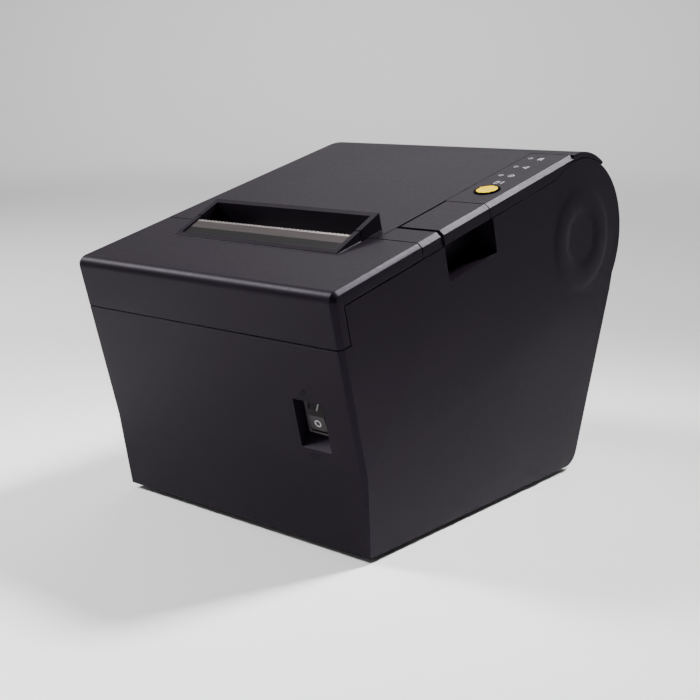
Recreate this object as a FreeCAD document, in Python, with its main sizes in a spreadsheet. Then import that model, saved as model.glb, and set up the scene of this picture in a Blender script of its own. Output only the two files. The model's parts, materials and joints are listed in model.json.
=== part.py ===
import FreeCAD, Part
import math
import os
import Sketcher

# Desktop receipt printer for 80 mm paper with a rear-hinged paper cover.
# Millimetres. +Z is up, the front looks along -Y and +X is the right side seen from the front.
# The origin lies on the table, midway across the width and midway between nose and rear drum.
# The whole top is one sloping deck. Places on it are given by their run, back along the slope from
# the sharp front nose, and by their rise, square to the deck (negative is below the deck).

SIZES = (
    # Outline of the case
    ("width", 138.0), ("side_wall", 3.0), ("wall", 2.6), ("foot_height", 2.0), ("top_tilt", 14.4),
    ("nose_reach", 98.85), ("nose_height", 102.6), ("nose_round", 4.0), ("front_edge_back", 23.4),
    ("bend_drop", 70.8), ("rear_edge", 72.15), ("rear_round", 8.0), ("corner_chamfer", 1.8),
    ("crease_front", 32.0), ("crease_tilt", 15.64), ("flank_lean", 0.057), ("flank_step", 4.4),
    # Rear drum, which is also the hinge of the paper cover
    ("hinge_run", 158.6), ("drum_radius", 34.0), ("drum_gap", 0.4), ("cover_wall", 2.6),
    ("drum_lip_angle", 66.0), ("drum_end_angle", -32.0), ("ring_outer", 23.8), ("ring_inner", 10.0),
    ("ring_slope", 4.6), ("ring_height", 0.7), ("hinge_pin_radius", 4.0), ("running_fit", 0.05),
    ("hinge_disc_radius", 30.3), ("hinge_disc_wall", 4.0), ("hinge_side_gap", 0.5),
    # Covers on the deck
    ("seam", 0.4), ("skirt", 6.3), ("skirt_front", 5.6), ("front_drop", 20.9), ("edge_chamfer", 1.75),
    ("front_cover_run", 50.5), ("tail_radius", 32.0), ("tail_angle", 57.4), ("tail_skew", 6.2),
    ("panel_width", 21.0), ("rib_across", 24.0), ("rib_drop", 3.0), ("rib_wall", 1.8),
    # Paper mouth
    ("mouth_margin", 4.0), ("mouth_wall", 2.5), ("mouth_front", 32.4), ("mouth_back", 59.3),
    ("mouth_front_rise", 0.6), ("mouth_back_rise", 6.8), ("mouth_split", 46.9), ("mouth_depth", 8.0),
    # Release lever and its finger recess
    ("lever_start", 64.2), ("lever_length", 30.0), ("lever_inset", 1.2), ("lever_gap", 2.0),
    ("notch_start", 63.8), ("notch_length", 32.2), ("notch_bottom", 20.3), ("notch_deep", 10.0),
    ("lever_pin_inset", 3.2), ("lever_pin_drop", 2.6), ("lever_pin_radius", 1.0),
    ("knuckle_radius", 1.9), ("latch_start", 74.0), ("latch_length", 10.0), ("latch_wall", 2.0),
    ("latch_drop", 15.0), ("latch_nose", 2.4), ("latch_gap", 0.4), ("tongue_wall", 1.8),
    ("pin_wall", 2.0), ("pin_wall_drop", 9.5), ("web_inset", 6.7), ("web_wall", 1.4),
    ("web_rise", 2.0),
    # Feed button, indicators and their board
    ("button_run", 109.4), ("button_inset", 10.8), ("button_radius", 5.2), ("button_gap", 0.3),
    ("button_rise", 0.5), ("button_flange", 1.0), ("button_stem_radius", 2.0), ("button_travel", 0.8),
    ("lens_inset", 4.6), ("lens_run", 128.0), ("lens_pitch", 11.6), ("lens_size", 2.4),
    ("board_drop", 7.0), ("board_wall", 1.6), ("board_start", 101.0), ("board_end", 155.0),
    ("board_inset", 1.5), ("board_margin", 8.2), ("tact_size", 5.0), ("tact_rise", 0.9),
    # Power switch in the front
    ("switch_inset", 21.0), ("recess_half", 7.3), ("recess_top", 43.5), ("recess_bottom", 63.2),
    ("recess_deep", 5.0), ("recess_ledge", 4.2), ("switch_half", 5.2), ("switch_half_height", 6.7),
    ("switch_drop", 51.3), ("switch_body", 9.0), ("rocker_half", 3.9), ("rocker_half_height", 6.1),
    ("rocker_lean", 11.0), ("rocker_pivot_deep", 1.0), ("rocker_face", 3.4), ("switch_flange", 1.2),
    ("rocker_gap", 0.35), ("rocker_axle", 1.0),
    # Platen and print mechanism
    ("platen_run", 53.5), ("platen_drop", 15.0), ("platen_radius", 6.5), ("platen_margin", 3.5),
    ("shaft_radius", 3.0), ("bush_radius", 4.5), ("bush_gap", 0.3), ("lug_gap", 1.2), ("lug_back", 59.3),
    ("frame_gap", 2.0), ("frame_sheet", 1.6), ("frame_front", 14.0), ("frame_back", 66.0),
    ("frame_drop", 42.0), ("frame_bar", 8.0), ("spring_bar_run", 35.6), ("spring_bar_drop", 24.0),
    ("head_gap", 0.3), ("head_wall", 1.2), ("head_margin", 2.0), ("head_top", 9.2), ("head_bottom", 27.0),
    ("sink_wall", 4.4), ("sink_bottom", 29.0), ("spring_strip", 0.5), ("spring_half", 18.0),
    ("spring_reach", 3.0), ("sensor_size", 4.0),
    # Gear train on the left of the mechanism
    ("gear_module", 0.6), ("gear_wall", 3.6), ("gear_clear", 4.0), ("gear_backlash", 0.22),
    ("idler_stud_radius", 2.0), ("motor_radius", 12.0), ("motor_length", 17.0),
    ("motor_shaft_radius", 1.0), ("train_angle", 258.2), ("motor_angle", 237.6),
    # Cutter
    ("cutter_front", 16.0), ("cutter_back", 44.0), ("cutter_drop", 5.7), ("cutter_wall", 2.3),
    ("blade_margin", 4.0), ("blade_sheet", 0.8), ("blade_front", 17.6), ("blade_tip", 45.2),
    ("blade_rise", 0.3), ("blade_rake", 4.0), ("cutter_module", 0.8), ("pinion_inset", 11.0),
    ("pinion_run", 26.5), ("cutter_motor_radius", 7.5), ("cutter_motor_length", 20.0),
    ("cutter_shaft_radius", 1.0), ("fixed_blade_drop", 6.2), ("fixed_blade_wall", 1.0),
    ("tear_gap", 0.3), ("tear_edge", 45.0), ("tear_wall", 1.6), ("tear_tooth", 0.5), ("tear_lip", 2.2),
    ("tear_sink", 0.6),
    # Inner chassis with the paper bay
    ("bay_margin", 4.0), ("cheek_wall", 6.0), ("bay_back", 22.0), ("bay_height", 64.0),
    ("bay_radius", 41.5), ("bay_shell", 2.0), ("trough_front", 200.0), ("trough_rear", 340.0),
    ("cheek_front", 54.0), ("cheek_inset", 9.0), ("cheek_rear", 58.0), ("cheek_top_drop", 28.0),
    ("cheek_top_back", 138.0), ("motor_bay_front", 27.0), ("motor_bay_back", 58.0),
    ("motor_bay_drop", 56.0),
    # Base, board and rear sockets
    ("base_wall", 2.5), ("base_gap", 1.1), ("base_front", 72.0), ("base_rear", 64.4),
    ("foot_radius", 6.5), ("foot_inset", 12.5), ("foot_along", 46.0), ("foot_sink", 0.6),
    ("post_inset", 9.0), ("post_front", 64.0), ("post_rear", 54.0), ("post_half", 4.0),
    ("post_height", 16.0), ("screw_radius", 1.5), ("screw_head_radius", 2.8), ("screw_head", 1.6),
    ("screw_length", 10.0), ("standoff_rise", 5.0), ("standoff_inset", 5.0), ("main_board_margin", 4.0),
    ("main_board_front", 18.0), ("main_board_rear", 62.2), ("window_margin", 3.0), ("window_low", 9.0),
    ("window_high", 32.0), ("plate_sheet", 1.5), ("socket_face", 68.0), ("socket_wall", 1.2),
    ("socket_fit", 0.3), ("socket_deep", 11.0), ("power_across", -28.0), ("power_width", 14.0),
    ("power_height", 12.0), ("usb_across", -8.0), ("usb_width", 12.0), ("usb_height", 10.5),
    ("network_across", 12.0), ("network_width", 16.0), ("network_height", 13.5), ("drawer_across", 30.0),
    ("drawer_width", 10.0), ("drawer_height", 12.5),
)

doc = FreeCAD.newDocument("receipt_printer")
sheet = doc.addObject("Spreadsheet::Sheet", "Sizes")
for row, (alias, number) in enumerate(SIZES, start=1):
    sheet.set(f"A{row}", alias)
    sheet.set(f"B{row}", str(number))
    sheet.setAlias(f"B{row}", alias)
doc.recompute()


class Size:
    """A length or angle: its present value and the expression that ties it to the sheet."""

    def __init__(self, value, text):
        self.value = float(value)
        self.text = text

    def __add__(self, other):
        other = size(other)
        return Size(self.value + other.value, f"({self.text} + {other.text})")

    def __sub__(self, other):
        other = size(other)
        return Size(self.value - other.value, f"({self.text} - {other.text})")

    def __mul__(self, other):
        other = size(other)
        return Size(self.value * other.value, f"{self.text} * {other.text}")

    def __truediv__(self, other):
        other = size(other)
        return Size(self.value / other.value, f"{self.text} / {other.text}")

    def __neg__(self):
        return Size(-self.value, f"(0 - {self.text})")

    def __radd__(self, other):
        return size(other) + self

    def __rsub__(self, other):
        return size(other) - self

    def __rmul__(self, other):
        return size(other) * self

    def root(self):
        return Size(math.sqrt(self.value), f"sqrt({self.text})")

    def cosine(self):
        return Size(math.cos(math.radians(self.value)), f"cos({self.text})")

    def sine(self):
        return Size(math.sin(math.radians(self.value)), f"sin({self.text})")

    def tangent(self):
        return Size(math.tan(math.radians(self.value)), f"tan({self.text})")


def size(number):
    """A plain number as a Size, so that both mix in one formula."""
    if isinstance(number, Size):
        return number
    return Size(number, repr(float(number)))


class SizeTable:
    """The cells of the sheet by name."""

    def __getattr__(self, alias):
        return Size(sheet.get(alias), f"Sizes.{alias}")


S = SizeTable()
HALF = S.width / 2
INNER = HALF - S.side_wall

# Places across the width, each one a named margin in from its neighbour
PANEL_LEFT = HALF - S.panel_width
MOUTH_HALF = PANEL_LEFT - S.mouth_margin
FRAME_HALF = MOUTH_HALF + S.frame_gap
BAY_HALF = FRAME_HALF - S.bay_margin
PLATEN_HALF = MOUTH_HALF - S.platen_margin
HEAD_HALF = MOUTH_HALF - S.head_margin
BLADE_HALF = MOUTH_HALF - S.blade_margin
GEAR_FACE = FRAME_HALF + S.gear_clear
PINION_ACROSS = FRAME_HALF - S.pinion_inset
LEVER_LEFT = PANEL_LEFT + S.lever_inset
LEVER_PIN = PANEL_LEFT + S.lever_pin_inset
WEB_LEFT = PANEL_LEFT + S.web_inset
BUTTON_ACROSS = HALF - S.button_inset
LENS_ACROSS = PANEL_LEFT + S.lens_inset
BOARD_LEFT = PANEL_LEFT + S.board_inset
BOARD_RIGHT = HALF - S.board_margin
SWITCH_ACROSS = HALF - S.switch_inset
BASE_HALF = INNER - S.flank_step - S.base_gap
POST_ACROSS = INNER - S.post_inset
FOOT_ACROSS = BASE_HALF - S.foot_inset
WINDOW_HALF = MOUTH_HALF - S.window_margin
MAIN_BOARD_HALF = BAY_HALF - S.main_board_margin
DECK_COS = S.top_tilt.cosine()
DECK_SIN = S.top_tilt.sine()


def deck(run, rise):
    """Side-view point at a run along the deck and a rise square to it."""
    run = size(run)
    rise = size(rise)
    y = run * DECK_COS - rise * DECK_SIN - S.nose_reach
    z = run * DECK_SIN + rise * DECK_COS + S.nose_height
    return y, z


HINGE_DROP = S.drum_radius + S.drum_gap + S.cover_wall
HINGE = deck(S.hinge_run, -HINGE_DROP)
PLATEN = deck(S.platen_run, -S.platen_drop)


def polar(centre, radius, angle):
    """Side-view point at a distance and an angle above the rearward horizontal."""
    angle = size(angle)
    return centre[0] + radius * angle.cosine(), centre[1] + radius * angle.sine()


def deck_box(run_0, rise_0, run_1, rise_1):
    """Four side-view corners of a rectangle that follows the deck."""
    return [deck(run_0, rise_0), deck(run_1, rise_0), deck(run_1, rise_1), deck(run_0, rise_1)]


def box(low_0, low_1, high_0, high_1):
    """Four corners of an upright rectangle."""
    return [(low_0, low_1), (high_0, low_1), (high_0, high_1), (low_0, high_1)]


class Round:
    """An outline point that is reached along an arc about a centre, turning left or right."""

    def __init__(self, point, centre, radius, left):
        self.point = point
        self.centre = centre
        self.radius = radius
        self.left = left


def new_body(label):
    """An empty body whose label names its file."""
    body = doc.addObject("PartDesign::Body", label)
    body.Label = label
    return body


def bind(thing, path, value):
    """Ties one property of an object to the sheet."""
    thing.setExpression(path, size(value).text)


def plane_sketch(body, name, role, base, tilt=None):
    """A sketch on one of the body's own origin planes, shifted by base and tilted about X."""
    sketch = body.newObject("Sketcher::SketchObject", name)
    plane = next(item for item in body.Origin.OriginFeatures if item.Role == role)
    sketch.AttachmentSupport = [(plane, "")]
    sketch.MapMode = "FlatFace"
    base = [size(value) for value in base]
    angle = size(0 if tilt is None else tilt)
    turn = FreeCAD.Rotation(FreeCAD.Vector(1, 0, 0), angle.value)
    sketch.AttachmentOffset = FreeCAD.Placement(FreeCAD.Vector(*[value.value for value in base]), turn)
    for axis, value in zip("xyz", base):
        bind(sketch, f"AttachmentOffset.Base.{axis}", value)
    if tilt is not None:
        bind(sketch, "AttachmentOffset.Rotation.Angle", angle)
    return sketch


def side_sketch(body, name, across):
    """A sketch in side view, at a place across the width. Its own axes are Y and Z."""
    return plane_sketch(body, name, "YZ_Plane", (0, 0, across))


def deck_sketch(body, name, rise):
    """A sketch lying parallel to the deck. Its own axes are X and the run."""
    y, z = deck(0, rise)
    return plane_sketch(body, name, "XY_Plane", (0, y, z), S.top_tilt)


def floor_sketch(body, name, height):
    """A level sketch. Its own axes are X and Y."""
    return plane_sketch(body, name, "XY_Plane", (0, 0, height))


def draw_outline(sketch, outline):
    """Draws a closed outline of straight and round stretches and fixes each corner to the sheet."""
    points = [item.point if isinstance(item, Round) else item for item in outline]
    points = [(size(first), size(second)) for first, second in points]
    vectors = [FreeCAD.Vector(first.value, second.value, 0) for first, second in points]
    shift = sketch.GeometryCount
    ends = []
    geometry = []
    radii = []
    for index in range(len(points)):
        follower = (index + 1) % len(points)
        target = outline[follower]
        start, end = vectors[index], vectors[follower]
        if not isinstance(target, Round):
            geometry.append(Part.LineSegment(start, end))
            ends.append((1, 2))
            continue
        centre = FreeCAD.Vector(size(target.centre[0]).value, size(target.centre[1]).value, 0)
        first, last = (start, end) if target.left else (end, start)
        angle_0 = math.atan2(first.y - centre.y, first.x - centre.x)
        angle_1 = math.atan2(last.y - centre.y, last.x - centre.x)
        if angle_1 < angle_0:
            angle_1 += 2 * math.pi
        circle = Part.Circle(centre, FreeCAD.Vector(0, 0, 1), size(target.radius).value)
        geometry.append(Part.ArcOfCircle(circle, angle_0, angle_1))
        ends.append((1, 2) if target.left else (2, 1))
        radii.append((shift + index, size(target.radius)))
    sketch.addGeometry(geometry, False)
    constraints = []
    values = []
    for index, (first, second) in enumerate(points):
        before = (index - 1) % len(points)
        constraints.append(Sketcher.Constraint("Coincident", shift + before, ends[before][1],
                                               shift + index, ends[index][0]))
        values.append(None)
        for kind, value in (("DistanceX", first), ("DistanceY", second)):
            constraints.append(Sketcher.Constraint(kind, -1, 1, shift + index, ends[index][0],
                                                   value.value))
            values.append(value)
    for geometry_index, radius in radii:
        constraints.append(Sketcher.Constraint("Radius", geometry_index, radius.value))
        values.append(radius)
    fix(sketch, constraints, values)


def draw_circle(sketch, centre, radius):
    """Draws a full circle and fixes its centre and radius to the sheet."""
    index = sketch.GeometryCount
    first, second, radius = size(centre[0]), size(centre[1]), size(radius)
    middle = FreeCAD.Vector(first.value, second.value, 0)
    sketch.addGeometry(Part.Circle(middle, FreeCAD.Vector(0, 0, 1), radius.value), False)
    constraints = [
        Sketcher.Constraint("DistanceX", -1, 1, index, 3, first.value),
        Sketcher.Constraint("DistanceY", -1, 1, index, 3, second.value),
        Sketcher.Constraint("Radius", index, radius.value),
    ]
    fix(sketch, constraints, [first, second, radius])


def fix(sketch, constraints, values):
    """Adds constraints and ties each one that has a value to the sheet."""
    start = sketch.ConstraintCount
    sketch.addConstraint(constraints)
    for offset, value in enumerate(values):
        if value is not None:
            bind(sketch, f"Constraints[{start + offset}]", value)


def grow(body, sketch, length, cut=False, back=False):
    """Adds or cuts the sketch over a length, along its normal or back against it."""
    kind = "PartDesign::Pocket" if cut else "PartDesign::Pad"
    feature = body.newObject(kind, sketch.Name + ("_cut" if cut else "_pad"))
    feature.Profile = sketch
    bind(feature, "Length", length)
    feature.Reversed = (not back) if cut else back
    sketch.Visibility = False
    return feature


def slab(body, name, outline, across_0, across_1, cut=False):
    """Adds or cuts a side-view outline between two places across the width."""
    sketch = side_sketch(body, name, across_0)
    draw_outline(sketch, outline)
    return grow(body, sketch, size(across_1) - across_0, cut)


def rod(body, name, centre, radius, across_0, across_1, cut=False):
    """Adds or cuts a cylinder across the width."""
    sketch = side_sketch(body, name, across_0)
    draw_circle(sketch, centre, radius)
    return grow(body, sketch, size(across_1) - across_0, cut)


def deck_slab(body, name, outline, rise_0, rise_1, cut=False):
    """Adds or cuts an outline in X and run between two rises."""
    sketch = deck_sketch(body, name, rise_0)
    draw_outline(sketch, outline)
    return grow(body, sketch, size(rise_1) - rise_0, cut)


def deck_rod(body, name, centre, radius, rise_0, rise_1, cut=False):
    """Adds or cuts a cylinder square to the deck."""
    sketch = deck_sketch(body, name, rise_0)
    draw_circle(sketch, centre, radius)
    return grow(body, sketch, size(rise_1) - rise_0, cut)


def floor_slab(body, name, outline, height_0, height_1, cut=False):
    """Adds or cuts an outline in X and Y between two heights."""
    sketch = floor_sketch(body, name, height_0)
    draw_outline(sketch, outline)
    return grow(body, sketch, size(height_1) - height_0, cut)


def floor_rod(body, name, centre, radius, height_0, height_1, cut=False):
    """Adds or cuts an upright cylinder."""
    sketch = floor_sketch(body, name, height_0)
    draw_circle(sketch, centre, radius)
    return grow(body, sketch, size(height_1) - height_0, cut)


def edges_where(body, test):
    """Names of the straight edges of the body's present shape whose two ends together pass a test."""
    doc.recompute()
    names = []
    for index, edge in enumerate(body.Tip.Shape.Edges, start=1):
        ends = [vertex.Point for vertex in edge.Vertexes]
        if len(ends) == 2 and isinstance(edge.Curve, Part.Line) and test(*ends):
            names.append(f"Edge{index}")
    return names


def dress(body, kind, name, amount, test):
    """Rounds or chamfers the edges that pass a test."""
    base = body.Tip
    names = edges_where(body, test)
    feature = body.newObject(f"PartDesign::{kind}", name)
    feature.Base = (base, names)
    bind(feature, "Radius" if kind == "Fillet" else "Size", amount)
    return feature


def near(first, second):
    """True where two numbers agree within a hundredth of a millimetre."""
    return abs(first - second) < 0.01


def run_rise(point):
    """Run and rise of a point in space."""
    y = point.y + S.nose_reach.value
    z = point.z - S.nose_height.value
    cosine, sine = DECK_COS.value, DECK_SIN.value
    return y * cosine + z * sine, z * cosine - y * sine


def drum_run(radius, drop):
    """Run at which a circle about the hinge comes up to a drop below the deck, on its front side."""
    reach = HINGE_DROP - drop
    return S.hinge_run - (radius * radius - reach * reach).root()


def crease_height(y):
    """Height of the crease that runs along each flank."""
    front = -S.nose_reach + S.front_edge_back
    return S.foot_height + S.crease_front + S.crease_tilt.tangent() * (size(y) - front)


def cross_sketch(body, name, y):
    """An upright sketch seen from the front, at a place along Y. Its own axes are X and Z."""
    return plane_sketch(body, name, "XZ_Plane", (0, 0, -size(y)))


def front_sketch(body, name, run):
    """A sketch square to the deck at a given run. Its own axes are X and the rise."""
    y, z = deck(run, 0)
    return plane_sketch(body, name, "XZ_Plane", (0, z, -y), S.top_tilt)


def front_rod(body, name, centre, radius, run_0, run_1, cut=False):
    """Adds or cuts a cylinder along the slope of the deck."""
    sketch = front_sketch(body, name, run_0)
    draw_circle(sketch, centre, radius)
    return grow(body, sketch, size(run_1) - run_0, cut, back=True)


def crease_slab(body, name, outline, y_0, y_1, cut=False):
    """Adds or cuts a prism along the flank crease. Its outline is in X and the height above the crease."""
    sketch = plane_sketch(body, name, "XZ_Plane", (0, crease_height(y_0), -size(y_0)), S.crease_tilt)
    draw_outline(sketch, outline)
    return grow(body, sketch, (size(y_1) - y_0) / S.crease_tilt.cosine(), cut, back=True)


# Main housing: a shell open below and above, with flared flanks, rear drum and screw posts
housing = new_body("main_housing")
front_foot = (S.front_edge_back - S.nose_reach, S.foot_height)
drum_end = polar(HINGE, S.drum_radius, S.drum_end_angle)
drum_inside = S.drum_radius - S.wall
slab(housing, "housing_side", [
    front_foot,
    deck(0, -S.bend_drop),
    deck(0, -S.front_drop),
    deck(S.skirt_front, -S.front_drop),
    deck(S.skirt_front, -S.skirt),
    deck(drum_run(S.drum_radius, S.skirt), -S.skirt),
    Round(drum_end, HINGE, S.drum_radius, False),
    (S.rear_edge, S.foot_height),
], -HALF, HALF)
dress(housing, "Fillet", "housing_rear_round", S.rear_round, lambda a, b: all(
    near(p.y, S.rear_edge.value) and near(p.z, S.foot_height.value) for p in (a, b)))
dress(housing, "Chamfer", "housing_front_corners", S.corner_chamfer, lambda a, b: near(a.x, b.x) and all(
    near(run_rise(p)[0], 0) for p in (a, b)))
rear_inside = S.foot_height + S.rear_round + S.wall
rear_share = (rear_inside - S.foot_height) / (drum_end[1] - S.foot_height)
rear_low = (S.rear_edge + (drum_end[0] - S.rear_edge) * rear_share - S.wall * 1.04, rear_inside)
rear_high = polar(HINGE, drum_inside, S.drum_end_angle)
rear_crease = (rear_low[0] + (rear_high[0] - rear_low[0]) * 0.85,
               rear_low[1] + (rear_high[1] - rear_low[1]) * 0.85)
upper_inside = [
    deck(S.wall, -S.bend_drop),
    deck(S.wall, S.skirt),
    polar(HINGE, S.drum_radius * 1.3, 100),
    polar(HINGE, S.drum_radius * 1.1, S.drum_lip_angle),
    polar(HINGE, drum_inside, S.drum_lip_angle),
    Round(rear_high, HINGE, drum_inside, False),
]
lower_inside = [rear_low, (S.rear_edge - S.rear_round, 0), (front_foot[0] + S.wall, 0)]
flank_inside = INNER - S.flank_step
slab(housing, "housing_upper_cavity", upper_inside + [rear_crease], -INNER, INNER, cut=True)
slab(housing, "housing_cavity", upper_inside + lower_inside, -flank_inside, flank_inside, cut=True)
post_top = S.foot_height + S.base_wall + S.post_height
for side, word in ((1, "right"), (-1, "left")):
    crease_slab(housing, f"flank_inside_{word}", [
        (side * INNER, 0),
        (side * flank_inside, -S.flank_step / S.flank_lean),
        (side * (flank_inside - S.wall), -S.flank_step / S.flank_lean),
        (side * (flank_inside - S.wall), 0),
    ], front_foot[0], S.rear_edge - S.crease_front, cut=True)
    low, high = (POST_ACROSS - S.post_half, INNER + S.side_wall / 3)
    if side < 0:
        low, high = -high, -low
    for place, y in (("front", -S.post_front), ("rear", S.post_rear)):
        floor_slab(housing, f"post_{place}_{word}", box(low, y - S.post_half, high, y + S.post_half),
                   S.foot_height + S.base_wall, post_top)
        floor_rod(housing, f"post_hole_{place}_{word}", (side * POST_ACROSS, y), S.screw_radius,
                  S.foot_height, S.foot_height + S.screw_length, cut=True)
    crease_slab(housing, f"flank_{word}", [
        (side * (HALF + S.flank_lean * 2), 2),
        (side * (HALF - S.flank_lean * S.nose_reach), -S.nose_reach),
        (side * (HALF + S.side_wall), -S.nose_reach),
        (side * (HALF + S.side_wall), 2),
    ], -S.nose_reach * 1.1, S.nose_reach * 1.1, cut=True)

# Finger recess under the release lever
notch_end = S.notch_start + S.notch_length
slab(housing, "notch_block", deck_box(S.notch_start - S.wall, -(S.notch_bottom + S.wall),
                                      notch_end + S.wall, -S.skirt),
     HALF - S.notch_deep - S.wall, INNER + S.side_wall / 3)
slab(housing, "notch", deck_box(S.notch_start, -S.notch_bottom, notch_end, S.skirt),
     HALF - S.notch_deep, HALF + S.side_wall, cut=True)

# Recess for the power switch, with a sloping ledge below
recess_low, recess_high = SWITCH_ACROSS - S.recess_half, SWITCH_ACROSS + S.recess_half
slab(housing, "switch_block", deck_box(S.wall / 2, -(S.recess_bottom + S.wall / 2),
                                       S.recess_deep + S.wall, -(S.recess_top - S.wall)),
     recess_low - S.wall, recess_high + S.wall)
slab(housing, "switch_recess", [
    deck(-S.wall, -S.recess_top),
    deck(S.recess_deep, -S.recess_top),
    deck(S.recess_deep, -(S.recess_bottom - S.recess_ledge)),
    deck(0, -S.recess_bottom),
    deck(-S.wall, -S.recess_bottom),
], recess_low, recess_high, cut=True)
slab(housing, "switch_hole", deck_box(0, -(S.switch_drop + S.switch_half_height),
                                      S.recess_deep + S.wall * 2,
                                      -(S.switch_drop - S.switch_half_height)),
     SWITCH_ACROSS - S.switch_half, SWITCH_ACROSS + S.switch_half, cut=True)

# Rear window for the sockets
slab(housing, "rear_window", box(S.rear_edge - S.rear_round * 1.5, S.window_low,
                                 S.rear_edge + S.rear_round * 3, S.window_high),
     -WINDOW_HALF, WINDOW_HALF, cut=True)

# Slots in the drum for the hinge discs, blind holes for the hinge pins and the rings outside
disc_high = INNER - S.hinge_side_gap
disc_low = disc_high - S.hinge_disc_wall
pin_depth = S.side_wall / 2
for side, word in ((1, "right"), (-1, "left")):
    low, high = disc_low - S.hinge_side_gap, INNER
    pin_low, pin_high = INNER - S.wall, INNER + pin_depth
    if side < 0:
        low, high = -high, -low
        pin_low, pin_high = -pin_high, -pin_low
    slab(housing, f"drum_slot_{word}", [
        polar(HINGE, drum_inside - S.wall, S.drum_lip_angle + 1),
        polar(HINGE, S.drum_radius + S.wall, S.drum_lip_angle + 1),
        Round(polar(HINGE, S.drum_radius + S.wall, S.drum_end_angle - 3), HINGE,
              S.drum_radius + S.wall, False),
        polar(HINGE, drum_inside - S.wall, S.drum_end_angle - 3),
        Round(polar(HINGE, drum_inside - S.wall, S.drum_lip_angle + 1), HINGE, drum_inside - S.wall,
              True),
    ][:-1], low, high, cut=True)
    rod(housing, f"pin_hole_{word}", HINGE, S.hinge_pin_radius, pin_low, pin_high, cut=True)
    ring = cross_sketch(housing, f"ring_{word}_profile", HINGE[0])
    top = HALF + S.ring_height
    profile = [
        (HALF - S.side_wall / 3, HINGE[1] + S.ring_inner),
        (HALF, HINGE[1] + S.ring_inner),
        (top, HINGE[1] + S.ring_inner + S.ring_slope),
        (top, HINGE[1] + S.ring_outer - S.ring_slope),
        (HALF, HINGE[1] + S.ring_outer),
        (HALF - S.side_wall / 3, HINGE[1] + S.ring_outer),
    ]
    draw_outline(ring, [(side * across, height) for across, height in profile])
    axis = ring.addGeometry(Part.LineSegment(FreeCAD.Vector(0, HINGE[1].value, 0),
                                             FreeCAD.Vector(10, HINGE[1].value, 0)), True)
    fix(ring, [
        Sketcher.Constraint("Horizontal", axis),
        Sketcher.Constraint("DistanceX", -1, 1, axis, 1, 0),
        Sketcher.Constraint("DistanceY", -1, 1, axis, 1, HINGE[1].value),
        Sketcher.Constraint("DistanceX", axis, 1, axis, 2, 10),
    ], [None, None, HINGE[1], None])
    revolution = housing.newObject("PartDesign::Revolution", f"ring_{word}")
    revolution.Profile = ring
    revolution.ReferenceAxis = (ring, ["Axis0"])
    revolution.Angle = 360

# Front cover: deck plate, front skirt and side bands, with the front half of the paper mouth
front_cover = new_body("front_cover")
band = S.skirt - S.seam
slab(front_cover, "front_cover_side", [
    deck(0, 0),
    deck(0, -(S.front_drop - S.seam)),
    deck(S.skirt_front - S.seam, -(S.front_drop - S.seam)),
    deck(S.skirt_front - S.seam, -band),
    deck(S.front_cover_run, -band),
    deck(S.front_cover_run, 0),
], -HALF, HALF)
dress(front_cover, "Fillet", "nose_rounding", S.nose_round, lambda a, b: not near(a.x, b.x) and all(
    near(run_rise(p)[0], 0) and near(run_rise(p)[1], 0) for p in (a, b)))
dress(front_cover, "Chamfer", "front_cover_edges", S.edge_chamfer, lambda a, b: near(a.x, b.x) and (
    all(near(run_rise(p)[0], 0) for p in (a, b)) or all(near(run_rise(p)[1], 0) for p in (a, b))))
slab(front_cover, "front_cover_cavity", deck_box(S.wall, -S.front_drop * 2, S.front_cover_run + S.wall,
                                                 -S.cover_wall), -INNER, INNER, cut=True)
mouth_in = MOUTH_HALF - S.mouth_wall
mouth_slope = (S.mouth_back_rise - S.mouth_front_rise) / (S.mouth_back - S.mouth_front)


def rim_rise(run):
    """Rise of the sloping rim round the paper mouth."""
    return S.mouth_front_rise + mouth_slope * (size(run) - S.mouth_front)


slab(front_cover, "mouth_rim_front", [
    deck(S.mouth_front, -S.cover_wall / 2),
    deck(S.mouth_split, -S.cover_wall / 2),
    deck(S.mouth_split, rim_rise(S.mouth_split)),
    deck(S.mouth_front, S.mouth_front_rise),
], -MOUTH_HALF, MOUTH_HALF)
deck_slab(front_cover, "mouth_front_opening", box(-mouth_in, S.mouth_front + S.mouth_wall, mouth_in,
                                                  S.front_cover_run + S.wall),
          -S.skirt, S.mouth_back_rise * 2, cut=True)
mouth_clear = MOUTH_HALF + S.seam
deck_slab(front_cover, "mouth_back_opening", box(-mouth_clear, S.mouth_split, mouth_clear,
                                                 S.front_cover_run + S.wall),
          -S.skirt, S.mouth_back_rise * 2, cut=True)

# Paper cover: deck plate that wraps round the drum, with hinge discs, mouth rim, lugs and latch tongue
cover = new_body("paper_cover")
cover_start = S.front_cover_run + S.seam
cover_inside = S.drum_radius + S.drum_gap
tail_centre = deck(S.hinge_run, -S.tail_radius)
tail_outer = polar(tail_centre, S.tail_radius, S.tail_angle)
tail_inner = polar(HINGE, cover_inside, S.tail_angle + S.tail_skew)
tail_top = deck(S.hinge_run, -S.cover_wall)
slab(cover, "cover_side", [
    deck(cover_start, 0),
    deck(S.hinge_run, 0),
    Round(tail_outer, tail_centre, S.tail_radius, False),
    tail_inner,
    Round(tail_top, HINGE, cover_inside, True),
    deck(cover_start, -S.cover_wall),
], -HALF, PANEL_LEFT)
slab(cover, "cover_tail", [
    deck(S.hinge_run, 0),
    Round(tail_outer, tail_centre, S.tail_radius, False),
    tail_inner,
    Round(tail_top, HINGE, cover_inside, True),
], PANEL_LEFT - S.wall, HALF)
slab(cover, "cover_skirt", [
    deck(cover_start, -S.cover_wall / 2),
    deck(S.hinge_run, -S.cover_wall / 2),
    tail_top,
    Round(deck(drum_run(cover_inside, band), -band), HINGE, cover_inside, True),
    deck(cover_start, -band),
], -HALF, -INNER)
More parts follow.
